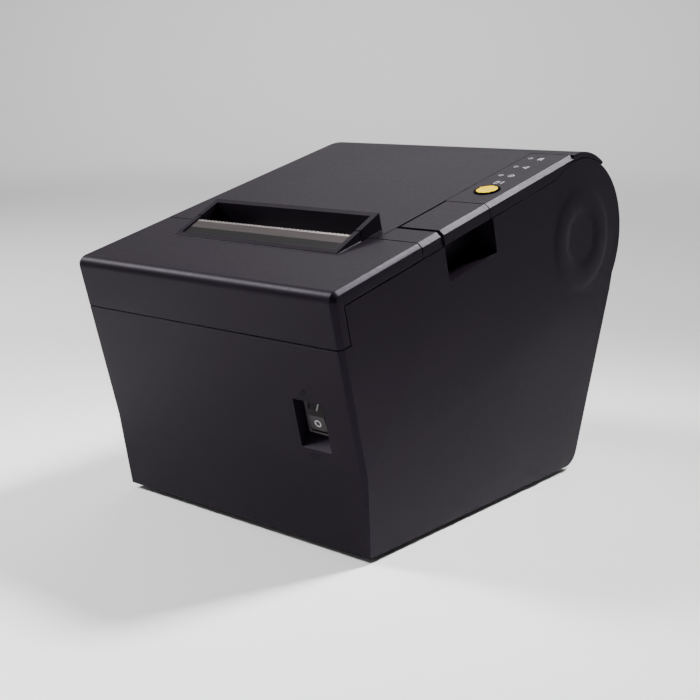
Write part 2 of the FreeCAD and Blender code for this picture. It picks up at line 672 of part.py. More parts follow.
slab(cover, "mouth_rim_back", [
    deck(S.mouth_split + S.seam, -S.cover_wall),
    deck(S.mouth_back, -S.cover_wall),
    deck(S.mouth_back, S.mouth_back_rise),
    deck(S.mouth_split + S.seam, rim_rise(S.mouth_split + S.seam)),
], -MOUTH_HALF, MOUTH_HALF)
mouth_back_inside = S.mouth_back - S.mouth_wall
deck_slab(cover, "mouth_opening", box(-mouth_in, S.mouth_front, mouth_in, mouth_back_inside),
          -S.skirt, S.mouth_back_rise * 2, cut=True)
slab(cover, "mouth_wall_back", deck_box(mouth_back_inside, -S.mouth_depth, S.mouth_back, 0),
     -mouth_in, mouth_in)
dress(cover, "Chamfer", "cover_edge", S.edge_chamfer, lambda a, b: near(a.x, b.x) and near(
    a.x, -HALF.value) and all(near(run_rise(p)[1], 0) for p in (a, b)))
lug_front = S.mouth_split + S.seam
lug_low = PLATEN_HALF + S.lug_gap
for side, word in ((1, "right"), (-1, "left")):
    low, high = lug_low, MOUTH_HALF
    if side < 0:
        low, high = -high, -low
    slab(cover, f"lug_{word}", deck_box(lug_front, -(S.platen_drop + S.bush_radius + S.wall), S.lug_back,
                                        -S.cover_wall / 2), low, high)
    rod(cover, f"lug_hole_{word}", PLATEN, S.bush_radius, low, high, cut=True)
    low, high = disc_low, disc_high
    if side < 0:
        low, high = -high, -low
    rod(cover, f"hinge_disc_{word}", HINGE, S.hinge_disc_radius, low, high)
    slab(cover, f"hinge_web_{word}", [
        polar(HINGE, S.hinge_disc_radius - S.wall / 2, S.drum_lip_angle),
        polar(HINGE, cover_inside + S.wall / 4, S.drum_lip_angle),
        Round(polar(HINGE, cover_inside + S.wall / 4, S.top_tilt + 90), HINGE, cover_inside + S.wall / 4,
              True),
        polar(HINGE, S.hinge_disc_radius - S.wall / 2, S.top_tilt + 90),
    ], low, high)
    rod(cover, f"hinge_bore_{word}", HINGE, S.hinge_pin_radius + S.running_fit, low, high, cut=True)
for number, across in enumerate((-S.rib_across, 0, S.rib_across)):
    slab(cover, f"cover_rib_{number}", deck_box(S.mouth_back + S.wall, -(S.cover_wall + S.rib_drop),
                                                drum_run(cover_inside + S.drum_gap, S.cover_wall + S.rib_drop),
                                                -S.cover_wall / 2),
         across - S.rib_wall / 2, across + S.rib_wall / 2)
latch_end = S.latch_start + S.latch_length
tongue_high = PANEL_LEFT - S.latch_gap
tongue_low = tongue_high - S.tongue_wall
tongue_drop = S.latch_drop + S.tongue_wall
slab(cover, "latch_tongue", deck_box(S.latch_start - S.latch_length / 2, -tongue_drop,
                                     latch_end + S.latch_length / 2, -S.cover_wall / 2),
     tongue_low, tongue_high)
slab(cover, "latch_window", deck_box(S.latch_start - S.latch_gap, -(S.latch_drop + S.latch_gap),
                                     latch_end + S.latch_gap,
                                     -(S.latch_drop - S.latch_nose - S.latch_gap)),
     tongue_low, tongue_high, cut=True)

# Control panel: fixed strip to the right of the paper cover
panel = new_body("control_panel")
panel_low = PANEL_LEFT + S.seam
panel_end = S.hinge_run - S.seam
lever_end = S.lever_start + S.lever_length
strip_end = S.lever_start - S.lever_gap
strip_start = lever_end + S.seam
slab(panel, "panel_back", [
    deck(strip_start, 0),
    deck(panel_end, 0),
    deck(panel_end, -S.cover_wall),
    deck(strip_start, -S.cover_wall),
], panel_low, HALF)
slab(panel, "panel_back_skirt", [
    deck(strip_start, -S.cover_wall / 2),
    deck(panel_end, -S.cover_wall / 2),
    deck(panel_end, -S.cover_wall),
    Round(deck(drum_run(cover_inside, band), -band), HINGE, cover_inside, True),
    deck(strip_start, -band),
], INNER, HALF)
wall_high = WEB_LEFT + S.web_wall
slab(panel, "pin_wall_back", deck_box(strip_start, -S.pin_wall_drop, strip_start + S.pin_wall,
                                      -S.cover_wall / 2), panel_low + S.seam, wall_high)
slab(panel, "panel_web", deck_box(strip_end - S.pin_wall, -S.pin_wall_drop, strip_start + S.pin_wall,
                                  S.web_rise - S.pin_wall_drop), WEB_LEFT, wall_high)
slab(panel, "pin_wall_front", deck_box(strip_end - S.pin_wall, -S.pin_wall_drop, strip_end,
                                       -S.cover_wall / 2),
     panel_low + S.seam, wall_high)
slab(panel, "panel_front", deck_box(cover_start, -S.cover_wall, strip_end, 0), panel_low, HALF)
slab(panel, "panel_front_skirt", deck_box(cover_start, -band, strip_end, -S.cover_wall / 2), INNER, HALF)
dress(panel, "Chamfer", "panel_edge", S.edge_chamfer, lambda a, b: all(
    near(p.x, HALF.value) and near(run_rise(p)[1], 0) for p in (a, b)))
pin_place = (LEVER_PIN, -S.lever_pin_drop)
front_rod(panel, "lever_pin_hole", pin_place, S.lever_pin_radius, strip_end - S.pin_wall,
          strip_start + S.pin_wall, cut=True)
button_place = (BUTTON_ACROSS, S.button_run)
deck_rod(panel, "button_hole", button_place, S.button_radius + S.button_gap, -S.skirt, S.skirt, cut=True)
for number in range(3):
    deck_rod(panel, f"lens_hole_{number}", (LENS_ACROSS, S.lens_run + S.lens_pitch * number),
             S.lens_size / 2,
             -S.skirt, S.skirt, cut=True)
boss_places = [(BOARD_LEFT + S.tact_size / 2, S.board_start + S.tact_size / 2),
               (BOARD_RIGHT - S.tact_size / 2, S.board_end - S.tact_size / 2)]
for number, place in enumerate(boss_places):
    deck_rod(panel, f"board_boss_{number}", place, S.tact_size / 3, -S.board_drop, -S.cover_wall / 2)

# Release lever: lifts at its outer edge and swings the latch nose clear of the tongue
lever = new_body("release_lever")
deck_slab(lever, "lever_plate", box(LEVER_LEFT, S.lever_start, HALF, lever_end), -S.cover_wall, 0)
deck_slab(lever, "lever_skirt", box(INNER, S.lever_start, HALF, lever_end), -band, -S.cover_wall / 2)
dress(lever, "Chamfer", "lever_edge", S.edge_chamfer, lambda a, b: all(
    near(p.x, HALF.value) and near(run_rise(p)[1], 0) for p in (a, b)))
front_rod(lever, "lever_knuckle", pin_place, S.knuckle_radius, S.lever_start, lever_end)
arm_low = LEVER_PIN - S.latch_wall / 2
deck_slab(lever, "latch_arm", box(arm_low, S.latch_start, arm_low + S.latch_wall, latch_end),
          -S.latch_drop, -S.lever_pin_drop)
deck_slab(lever, "latch_nose", box(PANEL_LEFT, S.latch_start, arm_low + S.latch_wall, latch_end),
          -S.latch_drop, S.latch_nose - S.latch_drop)
front_rod(lever, "lever_bore", pin_place, S.lever_pin_radius + S.running_fit, S.lever_start, lever_end,
          cut=True)


def label_group(label, solids):
    """Joins separate solids under one name without fusing them."""
    group = doc.addObject("Part::Compound", label)
    group.Label = label
    group.Links = solids
    return group


def upright_pin(name, across, y, radius, height_0, height_1):
    """A cylinder that stands upright, tied to the sheet."""
    pin = doc.addObject("Part::Cylinder", name)
    bind(pin, "Radius", radius)
    bind(pin, "Height", size(height_1) - height_0)
    bind(pin, "Placement.Base.x", across)
    bind(pin, "Placement.Base.y", y)
    bind(pin, "Placement.Base.z", height_0)
    return pin


def deck_pin(name, across, run, radius, rise_0, rise_1):
    """A cylinder square to the deck, tied to the sheet."""
    y, z = deck(run, rise_0)
    pin = upright_pin(name, across, y, radius, z, z + (size(rise_1) - rise_0))
    pin.Placement = FreeCAD.Placement(pin.Placement.Base, FreeCAD.Rotation(FreeCAD.Vector(1, 0, 0), 14))
    bind(pin, "Placement.Rotation.Angle", S.top_tilt)
    return pin


def cross_pin(name, centre, radius, across_0, across_1):
    """A cylinder across the width, tied to the sheet."""
    pin = upright_pin(name, across_0, centre[0], radius, centre[1],
                      centre[1] + (size(across_1) - across_0))
    pin.Placement = FreeCAD.Placement(pin.Placement.Base, FreeCAD.Rotation(FreeCAD.Vector(0, 1, 0), 90))
    return pin


def screw(name, across, y, height, length):
    """A pan-head screw that points up, its head below the given height."""
    head = upright_pin(f"{name}_head", across, y, S.screw_head_radius, size(height) - S.screw_head,
                       height)
    shank = upright_pin(f"{name}_shank", across, y, S.screw_radius, height, size(height) + length)
    whole = doc.addObject("Part::Fuse", name)
    whole.Base = head
    whole.Tool = shank
    return whole


# Hinge pins of the paper cover and the pin of the release lever
pin_start = disc_low - S.hinge_side_gap
label_group("hinge_pins", [
    cross_pin("hinge_pin_right", HINGE, S.hinge_pin_radius, pin_start, INNER + pin_depth),
    cross_pin("hinge_pin_left", HINGE, S.hinge_pin_radius, -(INNER + pin_depth), -pin_start),
])
lever_pin = new_body("lever_pin")
front_rod(lever_pin, "lever_pin_round", pin_place, S.lever_pin_radius, strip_end - S.pin_wall,
          strip_start + S.pin_wall)

# Feed button with its flange and stem, the three lenses and the board below them
button = new_body("feed_button")
flange_top = -(S.cover_wall + S.button_gap)
deck_rod(button, "button_cap", button_place, S.button_radius, flange_top - S.button_flange / 2,
         S.button_rise)
deck_rod(button, "button_collar", button_place, S.button_radius + S.button_flange,
         flange_top - S.button_flange, flange_top)
deck_rod(button, "button_stem", button_place, S.button_stem_radius,
         -(S.board_drop - S.tact_rise - S.button_travel - S.button_gap / 2),
         flange_top - S.button_flange / 2)
label_group("indicator_lenses", [
    deck_pin(f"lens_{number}", LENS_ACROSS, S.lens_run + S.lens_pitch * number, S.lens_size / 2,
             -S.cover_wall, S.button_gap / 3) for number in range(3)])
control_board = new_body("control_board")
deck_slab(control_board, "control_board_sheet",
          box(BOARD_LEFT, S.board_start, BOARD_RIGHT, S.board_end),
          -(S.board_drop + S.board_wall), -S.board_drop)
tact_half = S.tact_size / 2
deck_slab(control_board, "tact_block", box(BUTTON_ACROSS - tact_half, S.button_run - tact_half,
                                           BUTTON_ACROSS + tact_half, S.button_run + tact_half),
          -S.board_drop, S.tact_rise - S.board_drop)

# Power switch with a rocker that turns on its own stub axle
switch = new_body("power_switch")
switch_low, switch_high = SWITCH_ACROSS - S.switch_half, SWITCH_ACROSS + S.switch_half
switch_back = S.recess_deep + S.switch_body
pivot_run = S.recess_deep + S.rocker_pivot_deep
slab(switch, "switch_case", deck_box(S.recess_deep - S.switch_flange / 2,
                                     -(S.switch_drop + S.switch_half_height), switch_back,
                                     -(S.switch_drop - S.switch_half_height)), switch_low, switch_high)
rim = S.switch_flange / 2
slab(switch, "switch_flange", deck_box(S.recess_deep - S.switch_flange,
                                       -(S.switch_drop + S.switch_half_height + rim), S.recess_deep,
                                       -(S.switch_drop - S.switch_half_height - rim)),
     switch_low - rim, switch_high + rim)
rocker_room = S.rocker_half_height + S.rocker_gap
slab(switch, "switch_well", deck_box(0, -(S.switch_drop + rocker_room), pivot_run + rocker_room * 0.85,
                                     -(S.switch_drop - rocker_room)),
     SWITCH_ACROSS - S.rocker_half - S.rocker_gap, SWITCH_ACROSS + S.rocker_half + S.rocker_gap,
     cut=True)
rocker_pivot = deck(pivot_run, -S.switch_drop)
axle_half = S.rocker_half + S.rocker_gap * 2
rod(switch, "switch_axle_bore", rocker_pivot, S.rocker_axle + S.running_fit, SWITCH_ACROSS - axle_half,
    SWITCH_ACROSS + axle_half, cut=True)
rocker = new_body("power_rocker")


def rocker_point(forward, up):
    """Side-view point of the rocker as it rests, leaning back at its upper end."""
    forward, up = size(forward), size(up)
    lean_cos, lean_sin = S.rocker_lean.cosine(), S.rocker_lean.sine()
    return deck(pivot_run - (forward * lean_cos - up * lean_sin),
                up * lean_cos + forward * lean_sin - S.switch_drop)


slab(rocker, "rocker_side", [
    rocker_point(S.rocker_face / 3, S.rocker_half_height),
    rocker_point(S.rocker_face, 0),
    rocker_point(S.rocker_face / 3, -S.rocker_half_height),
    rocker_point(-S.rocker_face / 3, -S.rocker_half_height),
    rocker_point(-S.rocker_face, -S.rocker_half_height / 3),
    rocker_point(-S.rocker_face, S.rocker_half_height / 3),
    rocker_point(-S.rocker_face / 3, S.rocker_half_height),
], SWITCH_ACROSS - S.rocker_half, SWITCH_ACROSS + S.rocker_half)
rod(rocker, "rocker_axle", rocker_pivot, S.rocker_axle, SWITCH_ACROSS - axle_half + S.running_fit * 4,
    SWITCH_ACROSS + axle_half - S.running_fit * 4)

# Platen: shaft, rubber sleeve and the two bushes in the cover's lugs
bush_end = FRAME_HALF + S.frame_sheet + S.bush_gap
shaft_end = GEAR_FACE + S.gear_wall
shaft = new_body("platen_shaft")
rod(shaft, "platen_shaft_round", PLATEN, S.shaft_radius, -shaft_end, bush_end)
rubber = new_body("platen_rubber")
rod(rubber, "platen_rubber_round", PLATEN, S.platen_radius, -PLATEN_HALF, PLATEN_HALF)
rod(rubber, "platen_rubber_bore", PLATEN, S.shaft_radius, -PLATEN_HALF, PLATEN_HALF, cut=True)
bushes = []
for word, low, high in (("right", lug_low, bush_end), ("left", -bush_end, -lug_low)):
    outer = cross_pin(f"bush_outer_{word}", PLATEN, S.bush_radius, low, high)
    inner = cross_pin(f"bush_inner_{word}", PLATEN, S.shaft_radius + S.running_fit, low, high)
    bush = doc.addObject("Part::Cut", f"bush_{word}")
    bush.Base = outer
    bush.Tool = inner
    bushes.append(bush)
label_group("platen_bushes", bushes)

# Gear train: platen gear, idler and motor pinion in one plane
PLATEN_TEETH, IDLER_TEETH, PINION_TEETH = 16, 36, 11
train_world = S.train_angle + S.top_tilt
motor_world = S.motor_angle + S.top_tilt
IDLER = polar(PLATEN, S.gear_module * ((PLATEN_TEETH + IDLER_TEETH) / 2), train_world)
MOTOR = polar(IDLER, S.gear_module * ((IDLER_TEETH + PINION_TEETH) / 2), motor_world)


def tooth_outline(teeth, module, angle):
    """A straight-flanked tooth about the sketch origin, from inside the root to the tip."""
    pitch = module * (teeth / 2)
    half = module * (math.pi / 4) - S.gear_backlash / 2
    corners = ((pitch - module * 1.7, half + module * 0.46), (pitch - module * 1.2, half + module * 0.4),
               (pitch + module * 0.85, half - module * 0.33))
    angle = size(angle)
    outline = []
    for sign, order in ((1, corners), (-1, corners[::-1])):
        for out, aside in order:
            outline.append((out * angle.cosine() - aside * angle.sine() * sign,
                            out * angle.sine() + aside * angle.cosine() * sign))
    return outline


def gear_ring(body, name, role, base, tilt, teeth, module, angle, length):
    """A toothed wheel about the origin of its sketches: root disc, one tooth and its polar pattern."""
    disc = plane_sketch(body, f"{name}_disc", role, base, tilt)
    draw_circle(disc, (0, 0), module * (teeth / 2 - 1.2))
    grow(body, disc, length)
    tooth = plane_sketch(body, f"{name}_tooth", role, base, tilt)
    draw_outline(tooth, tooth_outline(teeth, module, angle))
    tooth_pad = grow(body, tooth, length)
    pattern = body.newObject("PartDesign::PolarPattern", f"{name}_teeth")
    pattern.Originals = [tooth_pad]
    pattern.Axis = (tooth, ["N_Axis"])
    pattern.Angle = 360
    pattern.Occurrences = teeth
    body.Tip = pattern
    return pattern


idler_tooth = train_world + 180 + 180 / IDLER_TEETH
pinion_tooth = (motor_world + 180 + 180 / PINION_TEETH
                - (idler_tooth - motor_world) * (IDLER_TEETH / PINION_TEETH))
gear_low = -shaft_end
platen_gear = new_body("platen_gear")
gear_ring(platen_gear, "platen_gear", "YZ_Plane", (PLATEN[0], PLATEN[1], gear_low), None, PLATEN_TEETH,
          S.gear_module, train_world, S.gear_wall)
rod(platen_gear, "platen_gear_bore", PLATEN, S.shaft_radius, gear_low, -GEAR_FACE, cut=True)
idler = new_body("idler_gear")
gear_ring(idler, "idler_gear", "YZ_Plane", (IDLER[0], IDLER[1], gear_low), None, IDLER_TEETH,
          S.gear_module, idler_tooth, S.gear_wall)
rod(idler, "idler_bore", IDLER, S.idler_stud_radius + S.running_fit, gear_low, -GEAR_FACE, cut=True)
pinion = new_body("motor_pinion")
gear_ring(pinion, "motor_pinion", "YZ_Plane", (MOTOR[0], MOTOR[1], gear_low), None, PINION_TEETH,
          S.gear_module, pinion_tooth, S.gear_wall)
motor_front = -FRAME_HALF
rod(pinion, "motor_shaft", MOTOR, S.motor_shaft_radius, -GEAR_FACE - S.gear_wall / 2,
    motor_front + S.motor_length / 2)
stud = new_body("idler_stud")
rod(stud, "idler_stud_round", IDLER, S.idler_stud_radius, gear_low - S.frame_sheet, -FRAME_HALF)
rod(stud, "idler_stud_head", IDLER, S.idler_stud_radius * 1.5, gear_low - S.frame_sheet,
    gear_low - S.bush_gap)
motor = new_body("stepper_motor")
rod(motor, "motor_can", MOTOR, S.motor_radius, motor_front, motor_front + S.motor_length)
rod(motor, "motor_bore", MOTOR, S.motor_shaft_radius + S.running_fit, motor_front,
    motor_front + S.motor_length / 2 + S.bush_gap, cut=True)

# Mechanism frame: two side plates with open notches for the bushes, joined by cross bars
frame = new_body("mech_frame")
frame_top = S.cutter_drop + S.cutter_wall
frame_out = FRAME_HALF + S.frame_sheet
bar_top = S.frame_bar - S.frame_drop
slab(frame, "frame_left", deck_box(S.frame_front, -S.frame_drop, S.frame_back, -frame_top), -frame_out,
     -FRAME_HALF)
slab(frame, "frame_bar_front", deck_box(S.frame_front, -S.frame_drop, S.frame_front + S.frame_sheet,
                                        bar_top),
     -frame_out, frame_out)
slab(frame, "frame_right", deck_box(S.frame_front, -S.frame_drop, S.frame_back, -frame_top), FRAME_HALF,
     frame_out)
slab(frame, "frame_bar_back", deck_box(S.frame_back - S.frame_bar, -S.frame_drop, S.frame_back,
                                       S.frame_sheet - S.frame_drop), -frame_out, frame_out)
slab(frame, "frame_bar_spring", deck_box(S.spring_bar_run, -S.spring_bar_drop,
                                         S.spring_bar_run + S.frame_sheet,
                                         S.frame_bar - S.spring_bar_drop), -frame_out, frame_out)
notch_radius = S.bush_radius + S.bush_gap
notch_front = S.platen_run - notch_radius
notch_rear = S.platen_run + notch_radius
slab(frame, "bush_notch", [
    deck(notch_front, -S.platen_drop),
    deck(notch_rear, -S.platen_drop),
    deck(notch_rear + S.bush_radius, -frame_top + S.wall),
    deck(notch_front, -frame_top + S.wall),
], -frame_out, frame_out, cut=True)
rod(frame, "bush_seat", PLATEN, notch_radius, -frame_out, frame_out, cut=True)
rod(frame, "stud_hole", IDLER, S.idler_stud_radius, -frame_out, -FRAME_HALF, cut=True)
rod(frame, "motor_shaft_hole", MOTOR, S.motor_shaft_radius * 2, -frame_out, -FRAME_HALF, cut=True)

# Print head, its heat sink and the leaf spring that presses them towards the platen
head_back = S.platen_run - S.platen_radius - S.head_gap
head = new_body("print_head")
slab(head, "print_head_bar", deck_box(head_back - S.head_wall, -S.head_bottom, head_back, -S.head_top),
     -HEAD_HALF, HEAD_HALF)
sink = new_body("head_heatsink")
sink_front = head_back - S.head_wall - S.sink_wall
slab(sink, "sink_bar", deck_box(sink_front, -S.sink_bottom, head_back - S.head_wall, -S.head_top),
     -FRAME_HALF, FRAME_HALF)
for number in range(4):
    fin = -S.sink_bottom + S.sink_wall * (number + 0.6)
    slab(sink, f"sink_groove_{number}", deck_box(sink_front - S.wall, fin, sink_front + S.sink_wall / 2,
                                                 fin + S.sink_wall / 2), -FRAME_HALF, FRAME_HALF,
                                                 cut=True)
spring = new_body("head_spring")
spring_front = S.spring_bar_run + S.frame_sheet
spring_mid = S.frame_bar / 2 - S.spring_bar_drop
slab(spring, "spring_strip", [
    deck(spring_front, spring_mid),
    deck(spring_front + S.spring_strip, spring_mid),
    deck(sink_front, spring_mid + S.spring_reach),
    deck(sink_front - S.spring_strip, spring_mid + S.spring_reach),
], -S.spring_half, S.spring_half)
slab(spring, "spring_foot", deck_box(spring_front, spring_mid - S.frame_bar / 2,
                                     spring_front + S.spring_strip,
                                     spring_mid + S.spring_strip), -S.spring_half, S.spring_half)
sensor = new_body("paper_sensor")
slab(sensor, "sensor_block", deck_box(S.frame_back - S.frame_bar * 0.8, S.frame_sheet - S.frame_drop,
                                      S.frame_back - S.frame_bar * 0.2,
                                      S.frame_sheet + S.sensor_size - S.frame_drop), -S.sensor_size,
                                      S.sensor_size)

# Cutter: frame, sliding blade with a rack on its right edge, pinion, motor and the counter blade
cutter = new_body("cutter_frame")
deck_slab(cutter, "cutter_sheet", box(-frame_out, S.cutter_front, frame_out, S.cutter_back),
          -frame_top, -S.cutter_drop)
pinion_place = (PINION_ACROSS, S.pinion_run)
deck_rod(cutter, "cutter_shaft_hole", pinion_place, S.cutter_shaft_radius * 2, -frame_top, -S.cutter_drop,
         cut=True)
blade = new_body("moving_blade")
CUTTER_TEETH = 10
RACK_GAPS = 5
rack_pitch = S.cutter_module * math.pi
rack_line = PINION_ACROSS - S.cutter_module * (CUTTER_TEETH / 2)
rack_edge = rack_line + S.cutter_module * 0.85
blade_low = S.blade_rise - S.cutter_drop
deck_slab(blade, "blade_sheet", [
    (-BLADE_HALF, S.blade_front),
    (rack_edge, S.blade_front),
    (rack_edge, S.pinion_run + S.cutter_motor_radius),
    (BLADE_HALF, S.pinion_run + S.cutter_motor_radius),
    (BLADE_HALF, S.blade_tip),
    (0, S.blade_tip - S.blade_rake),
    (-BLADE_HALF, S.blade_tip),
], blade_low, blade_low + S.blade_sheet)
gap_half = S.cutter_module * (math.pi / 4) + S.gear_backlash / 2
first_gap = S.pinion_run - rack_pitch * 3
gap = deck_sketch(blade, "rack_gap", blade_low - S.blade_rise)
draw_outline(gap, [
    (rack_edge + S.cutter_module, first_gap - gap_half - S.cutter_module * 0.67),
    (rack_edge + S.cutter_module, first_gap + gap_half + S.cutter_module * 0.67),
    (rack_line - S.cutter_module * 1.2, first_gap + gap_half - S.cutter_module * 0.43),
    (rack_line - S.cutter_module * 1.2, first_gap - gap_half + S.cutter_module * 0.43),
])
gap_cut = grow(blade, gap, S.blade_sheet + S.blade_rise * 2, cut=True)
rack = blade.newObject("PartDesign::LinearPattern", "rack_gaps")
rack.Originals = [gap_cut]
rack.Direction = (gap, ["V_Axis"])
bind(rack, "Length", rack_pitch * (RACK_GAPS - 1))
rack.Occurrences = RACK_GAPS
blade.Tip = rack
cutter_pinion = new_body("cutter_pinion")
pinion_base = deck(S.pinion_run, blade_low - S.blade_rise / 2)
gear_ring(cutter_pinion, "cutter_pinion", "XY_Plane", (PINION_ACROSS,) + pinion_base, S.top_tilt,
          CUTTER_TEETH,
          S.cutter_module, 180, S.blade_sheet + S.blade_rise)
motor_top = -(frame_top + S.blade_rise)
deck_rod(cutter_pinion, "cutter_shaft", pinion_place, S.cutter_shaft_radius,
         motor_top - S.cutter_motor_length / 2,
         blade_low)
cutter_motor = new_body("cutter_motor")
deck_rod(cutter_motor, "cutter_motor_can", pinion_place, S.cutter_motor_radius,
         motor_top - S.cutter_motor_length,
         -frame_top)
deck_rod(cutter_motor, "cutter_motor_bore", pinion_place, S.cutter_shaft_radius + S.running_fit,
         motor_top - S.cutter_motor_length / 2 - S.blade_rise, -frame_top, cut=True)
fixed_blade = new_body("fixed_blade")
deck_slab(fixed_blade, "fixed_blade_sheet",
          box(-lug_low, S.mouth_split + S.lug_gap, lug_low, mouth_back_inside),
          -(S.fixed_blade_drop + S.fixed_blade_wall), -S.fixed_blade_drop)
tear = new_body("tear_bar")
tear_start = S.mouth_front + S.mouth_wall + S.tear_gap
tear_half = mouth_in - S.tear_gap
slab(tear, "tear_side", [
    deck(tear_start, rim_rise(tear_start) - S.tear_sink),
    deck(tear_start, -S.tear_lip),
    deck(tear_start + S.tear_wall, -S.tear_lip),
    deck(S.tear_edge, rim_rise(S.tear_edge) - S.tear_sink - S.tear_wall),
    deck(S.tear_edge, rim_rise(S.tear_edge) - S.tear_sink),
], -tear_half, tear_half)
TEETH_ACROSS = 40
tooth_pitch = tear_half * 2 / TEETH_ACROSS
tooth = deck_sketch(tear, "tear_gap_shape", -S.tear_lip)
draw_outline(tooth, [
    (-tear_half, S.tear_edge + S.tear_tooth),
    (-tear_half + tooth_pitch / 2, S.tear_edge - S.tear_tooth),
    (-tear_half + tooth_pitch, S.tear_edge + S.tear_tooth),
])
tooth_cut = grow(tear, tooth, S.mouth_back_rise * 2, cut=True)
teeth = tear.newObject("PartDesign::LinearPattern", "tear_teeth")
teeth.Originals = [tooth_cut]
teeth.Direction = (tooth, ["H_Axis"])
bind(teeth, "Length", tooth_pitch * (TEETH_ACROSS - 1))
teeth.Occurrences = TEETH_ACROSS
tear.Tip = teeth

# Paper tray: two cheeks that carry the mechanism, joined by the round trough for the paper roll
tray = new_body("paper_tray")
base_top = S.foot_height + S.base_wall
bay = (S.bay_back, S.bay_height)
cheek_out = BAY_HALF + S.cheek_wall
cheek = [
    (-S.cheek_front, base_top),
    deck(S.frame_front + S.cheek_inset, -S.frame_drop),
    deck(S.frame_back + S.seam, -S.frame_drop),
    deck(S.frame_back + S.seam, -S.cheek_top_drop),
    deck(S.cheek_top_back, -S.cheek_top_drop),
    (S.cheek_rear, base_top),
]
slab(tray, "cheek_left", cheek, -cheek_out, -BAY_HALF)
trough_out = S.bay_radius + S.bay_shell
slab(tray, "trough", [
    polar(bay, S.bay_radius, S.trough_front),
    polar(bay, trough_out, S.trough_front),
    Round(polar(bay, trough_out, S.trough_rear), bay, trough_out, True),
    polar(bay, S.bay_radius, S.trough_rear),
], -BAY_HALF - S.wall, BAY_HALF + S.wall)
slab(tray, "cheek_right", cheek, BAY_HALF, cheek_out)
rod(tray, "bay_room", bay, S.bay_radius, -BAY_HALF, BAY_HALF, cut=True)
slab(tray, "motor_bay", deck_box(S.motor_bay_front, -S.motor_bay_drop, S.motor_bay_back, 0), -cheek_out,
     cheek_out, cut=True)

# Base plate with stand-offs, screws and rubber feet
base = new_body("base_plate")
floor_slab(base, "base_sheet", box(-BASE_HALF, -S.base_front, BASE_HALF, S.base_rear), S.foot_height,
           base_top)
standoffs = [(sx * (MAIN_BOARD_HALF - S.standoff_inset), y) for sx in (-1, 1)
             for y in (S.standoff_inset - S.main_board_front, S.main_board_rear - S.standoff_inset * 2)]
for number, place in enumerate(standoffs):
    floor_rod(base, f"standoff_{number}", place, S.screw_radius * 2, S.foot_height,
              base_top + S.standoff_rise)
screw_places = [(sx * POST_ACROSS, y) for sx in (-1, 1) for y in (-S.post_front, S.post_rear)]
foot_places = [(sx * FOOT_ACROSS, sy * S.foot_along) for sx in (-1, 1) for sy in (-1, 1)]
for number, place in enumerate(screw_places):
    floor_rod(base, f"base_hole_{number}", place, S.screw_radius, S.foot_height, base_top, cut=True)
for number, place in enumerate(foot_places):
    floor_rod(base, f"foot_seat_{number}", place, S.foot_radius, S.foot_height,
              S.foot_height + S.foot_sink, cut=True)
label_group("base_screws", [screw(f"base_screw_{number}", across, y, S.foot_height, S.screw_length)
                            for number, (across, y) in enumerate(screw_places)])
label_group("rubber_feet", [upright_pin(f"rubber_foot_{number}", across, y, S.foot_radius, 0,
                                        S.foot_height + S.foot_sink)
                            for number, (across, y) in enumerate(foot_places)])

# Main board on the stand-offs, interface plate and the four rear sockets
board_low = base_top + S.standoff_rise
board_high = board_low + S.board_wall
board = new_body("main_board")
floor_slab(board, "main_board_sheet", box(-MAIN_BOARD_HALF, -S.main_board_front, MAIN_BOARD_HALF,
                                          S.main_board_rear), board_low, board_high)
floor_slab(board, "processor", box(-S.tact_size * 2, 0, S.tact_size, S.tact_size * 3), board_high,
           board_high + S.board_wall)
floor_slab(board, "memory", box(S.tact_size * 2, 0, S.tact_size * 4, S.tact_size * 3), board_high,
           board_high + S.board_wall)
plate = new_body("interface_plate")
plate_low = S.main_board_rear + S.socket_fit
slab(plate, "interface_sheet", box(plate_low, base_top, plate_low + S.plate_sheet,
                                   S.window_high + S.wall),
     -WINDOW_HALF - S.wall, WINDOW_HALF + S.wall)
SOCKETS = (
    ("power_socket", "power_across", "power_width", "power_height"),
    ("usb_socket", "usb_across", "usb_width", "usb_height"),
    ("network_socket", "network_across", "network_width", "network_height"),
    ("drawer_socket", "drawer_across", "drawer_width", "drawer_height"),
)
for label, across_name, width_name, height_name in SOCKETS:
    across = getattr(S, across_name)
    half_width = getattr(S, width_name) / 2
    socket_top = board_high + getattr(S, height_name)
    slab(plate, f"{label}_window", box(plate_low - S.wall, board_low - S.socket_fit,
                                       plate_low + S.wall * 2,
                                       socket_top + S.socket_fit),
         across - half_width - S.socket_fit, across + half_width + S.socket_fit, cut=True)
    socket = new_body(label)
    floor_slab(socket, f"{label}_case", box(across - half_width, S.socket_face - S.socket_deep * 1.4,
                                            across + half_width, S.socket_face), board_high, socket_top)
    slab(socket, f"{label}_cavity", box(S.socket_face - S.socket_deep, board_high + S.socket_wall,
                                        S.socket_face + S.wall, socket_top - S.socket_wall),
         across - half_width + S.socket_wall, across + half_width - S.socket_wall, cut=True)

# Every feature and shape is checked before any file is written
doc.recompute()
parts = [item for item in doc.Objects if item.TypeId in ("PartDesign::Body", "Part::Compound")]
faults = [f"{item.Name}: {item.State}" for item in doc.Objects
          if "Invalid" in item.State or "Error" in item.State]
faults += [f"{item.Label}: shape" for item in parts if item.Shape.isNull() or not item.Shape.isValid()]
if faults:
    raise RuntimeError("; ".join(faults))
os.makedirs("parts", exist_ok=True)
for item in parts:
    item.Shape.exportStep(os.path.join("parts", item.Label + ".step"))
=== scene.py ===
import json
import logging
import math
from dataclasses import dataclass, field
from enum import Enum
from functools import cache
from typing import Any, Callable, Iterable, Sequence

import bmesh
import bpy
from mathutils import Matrix, Vector


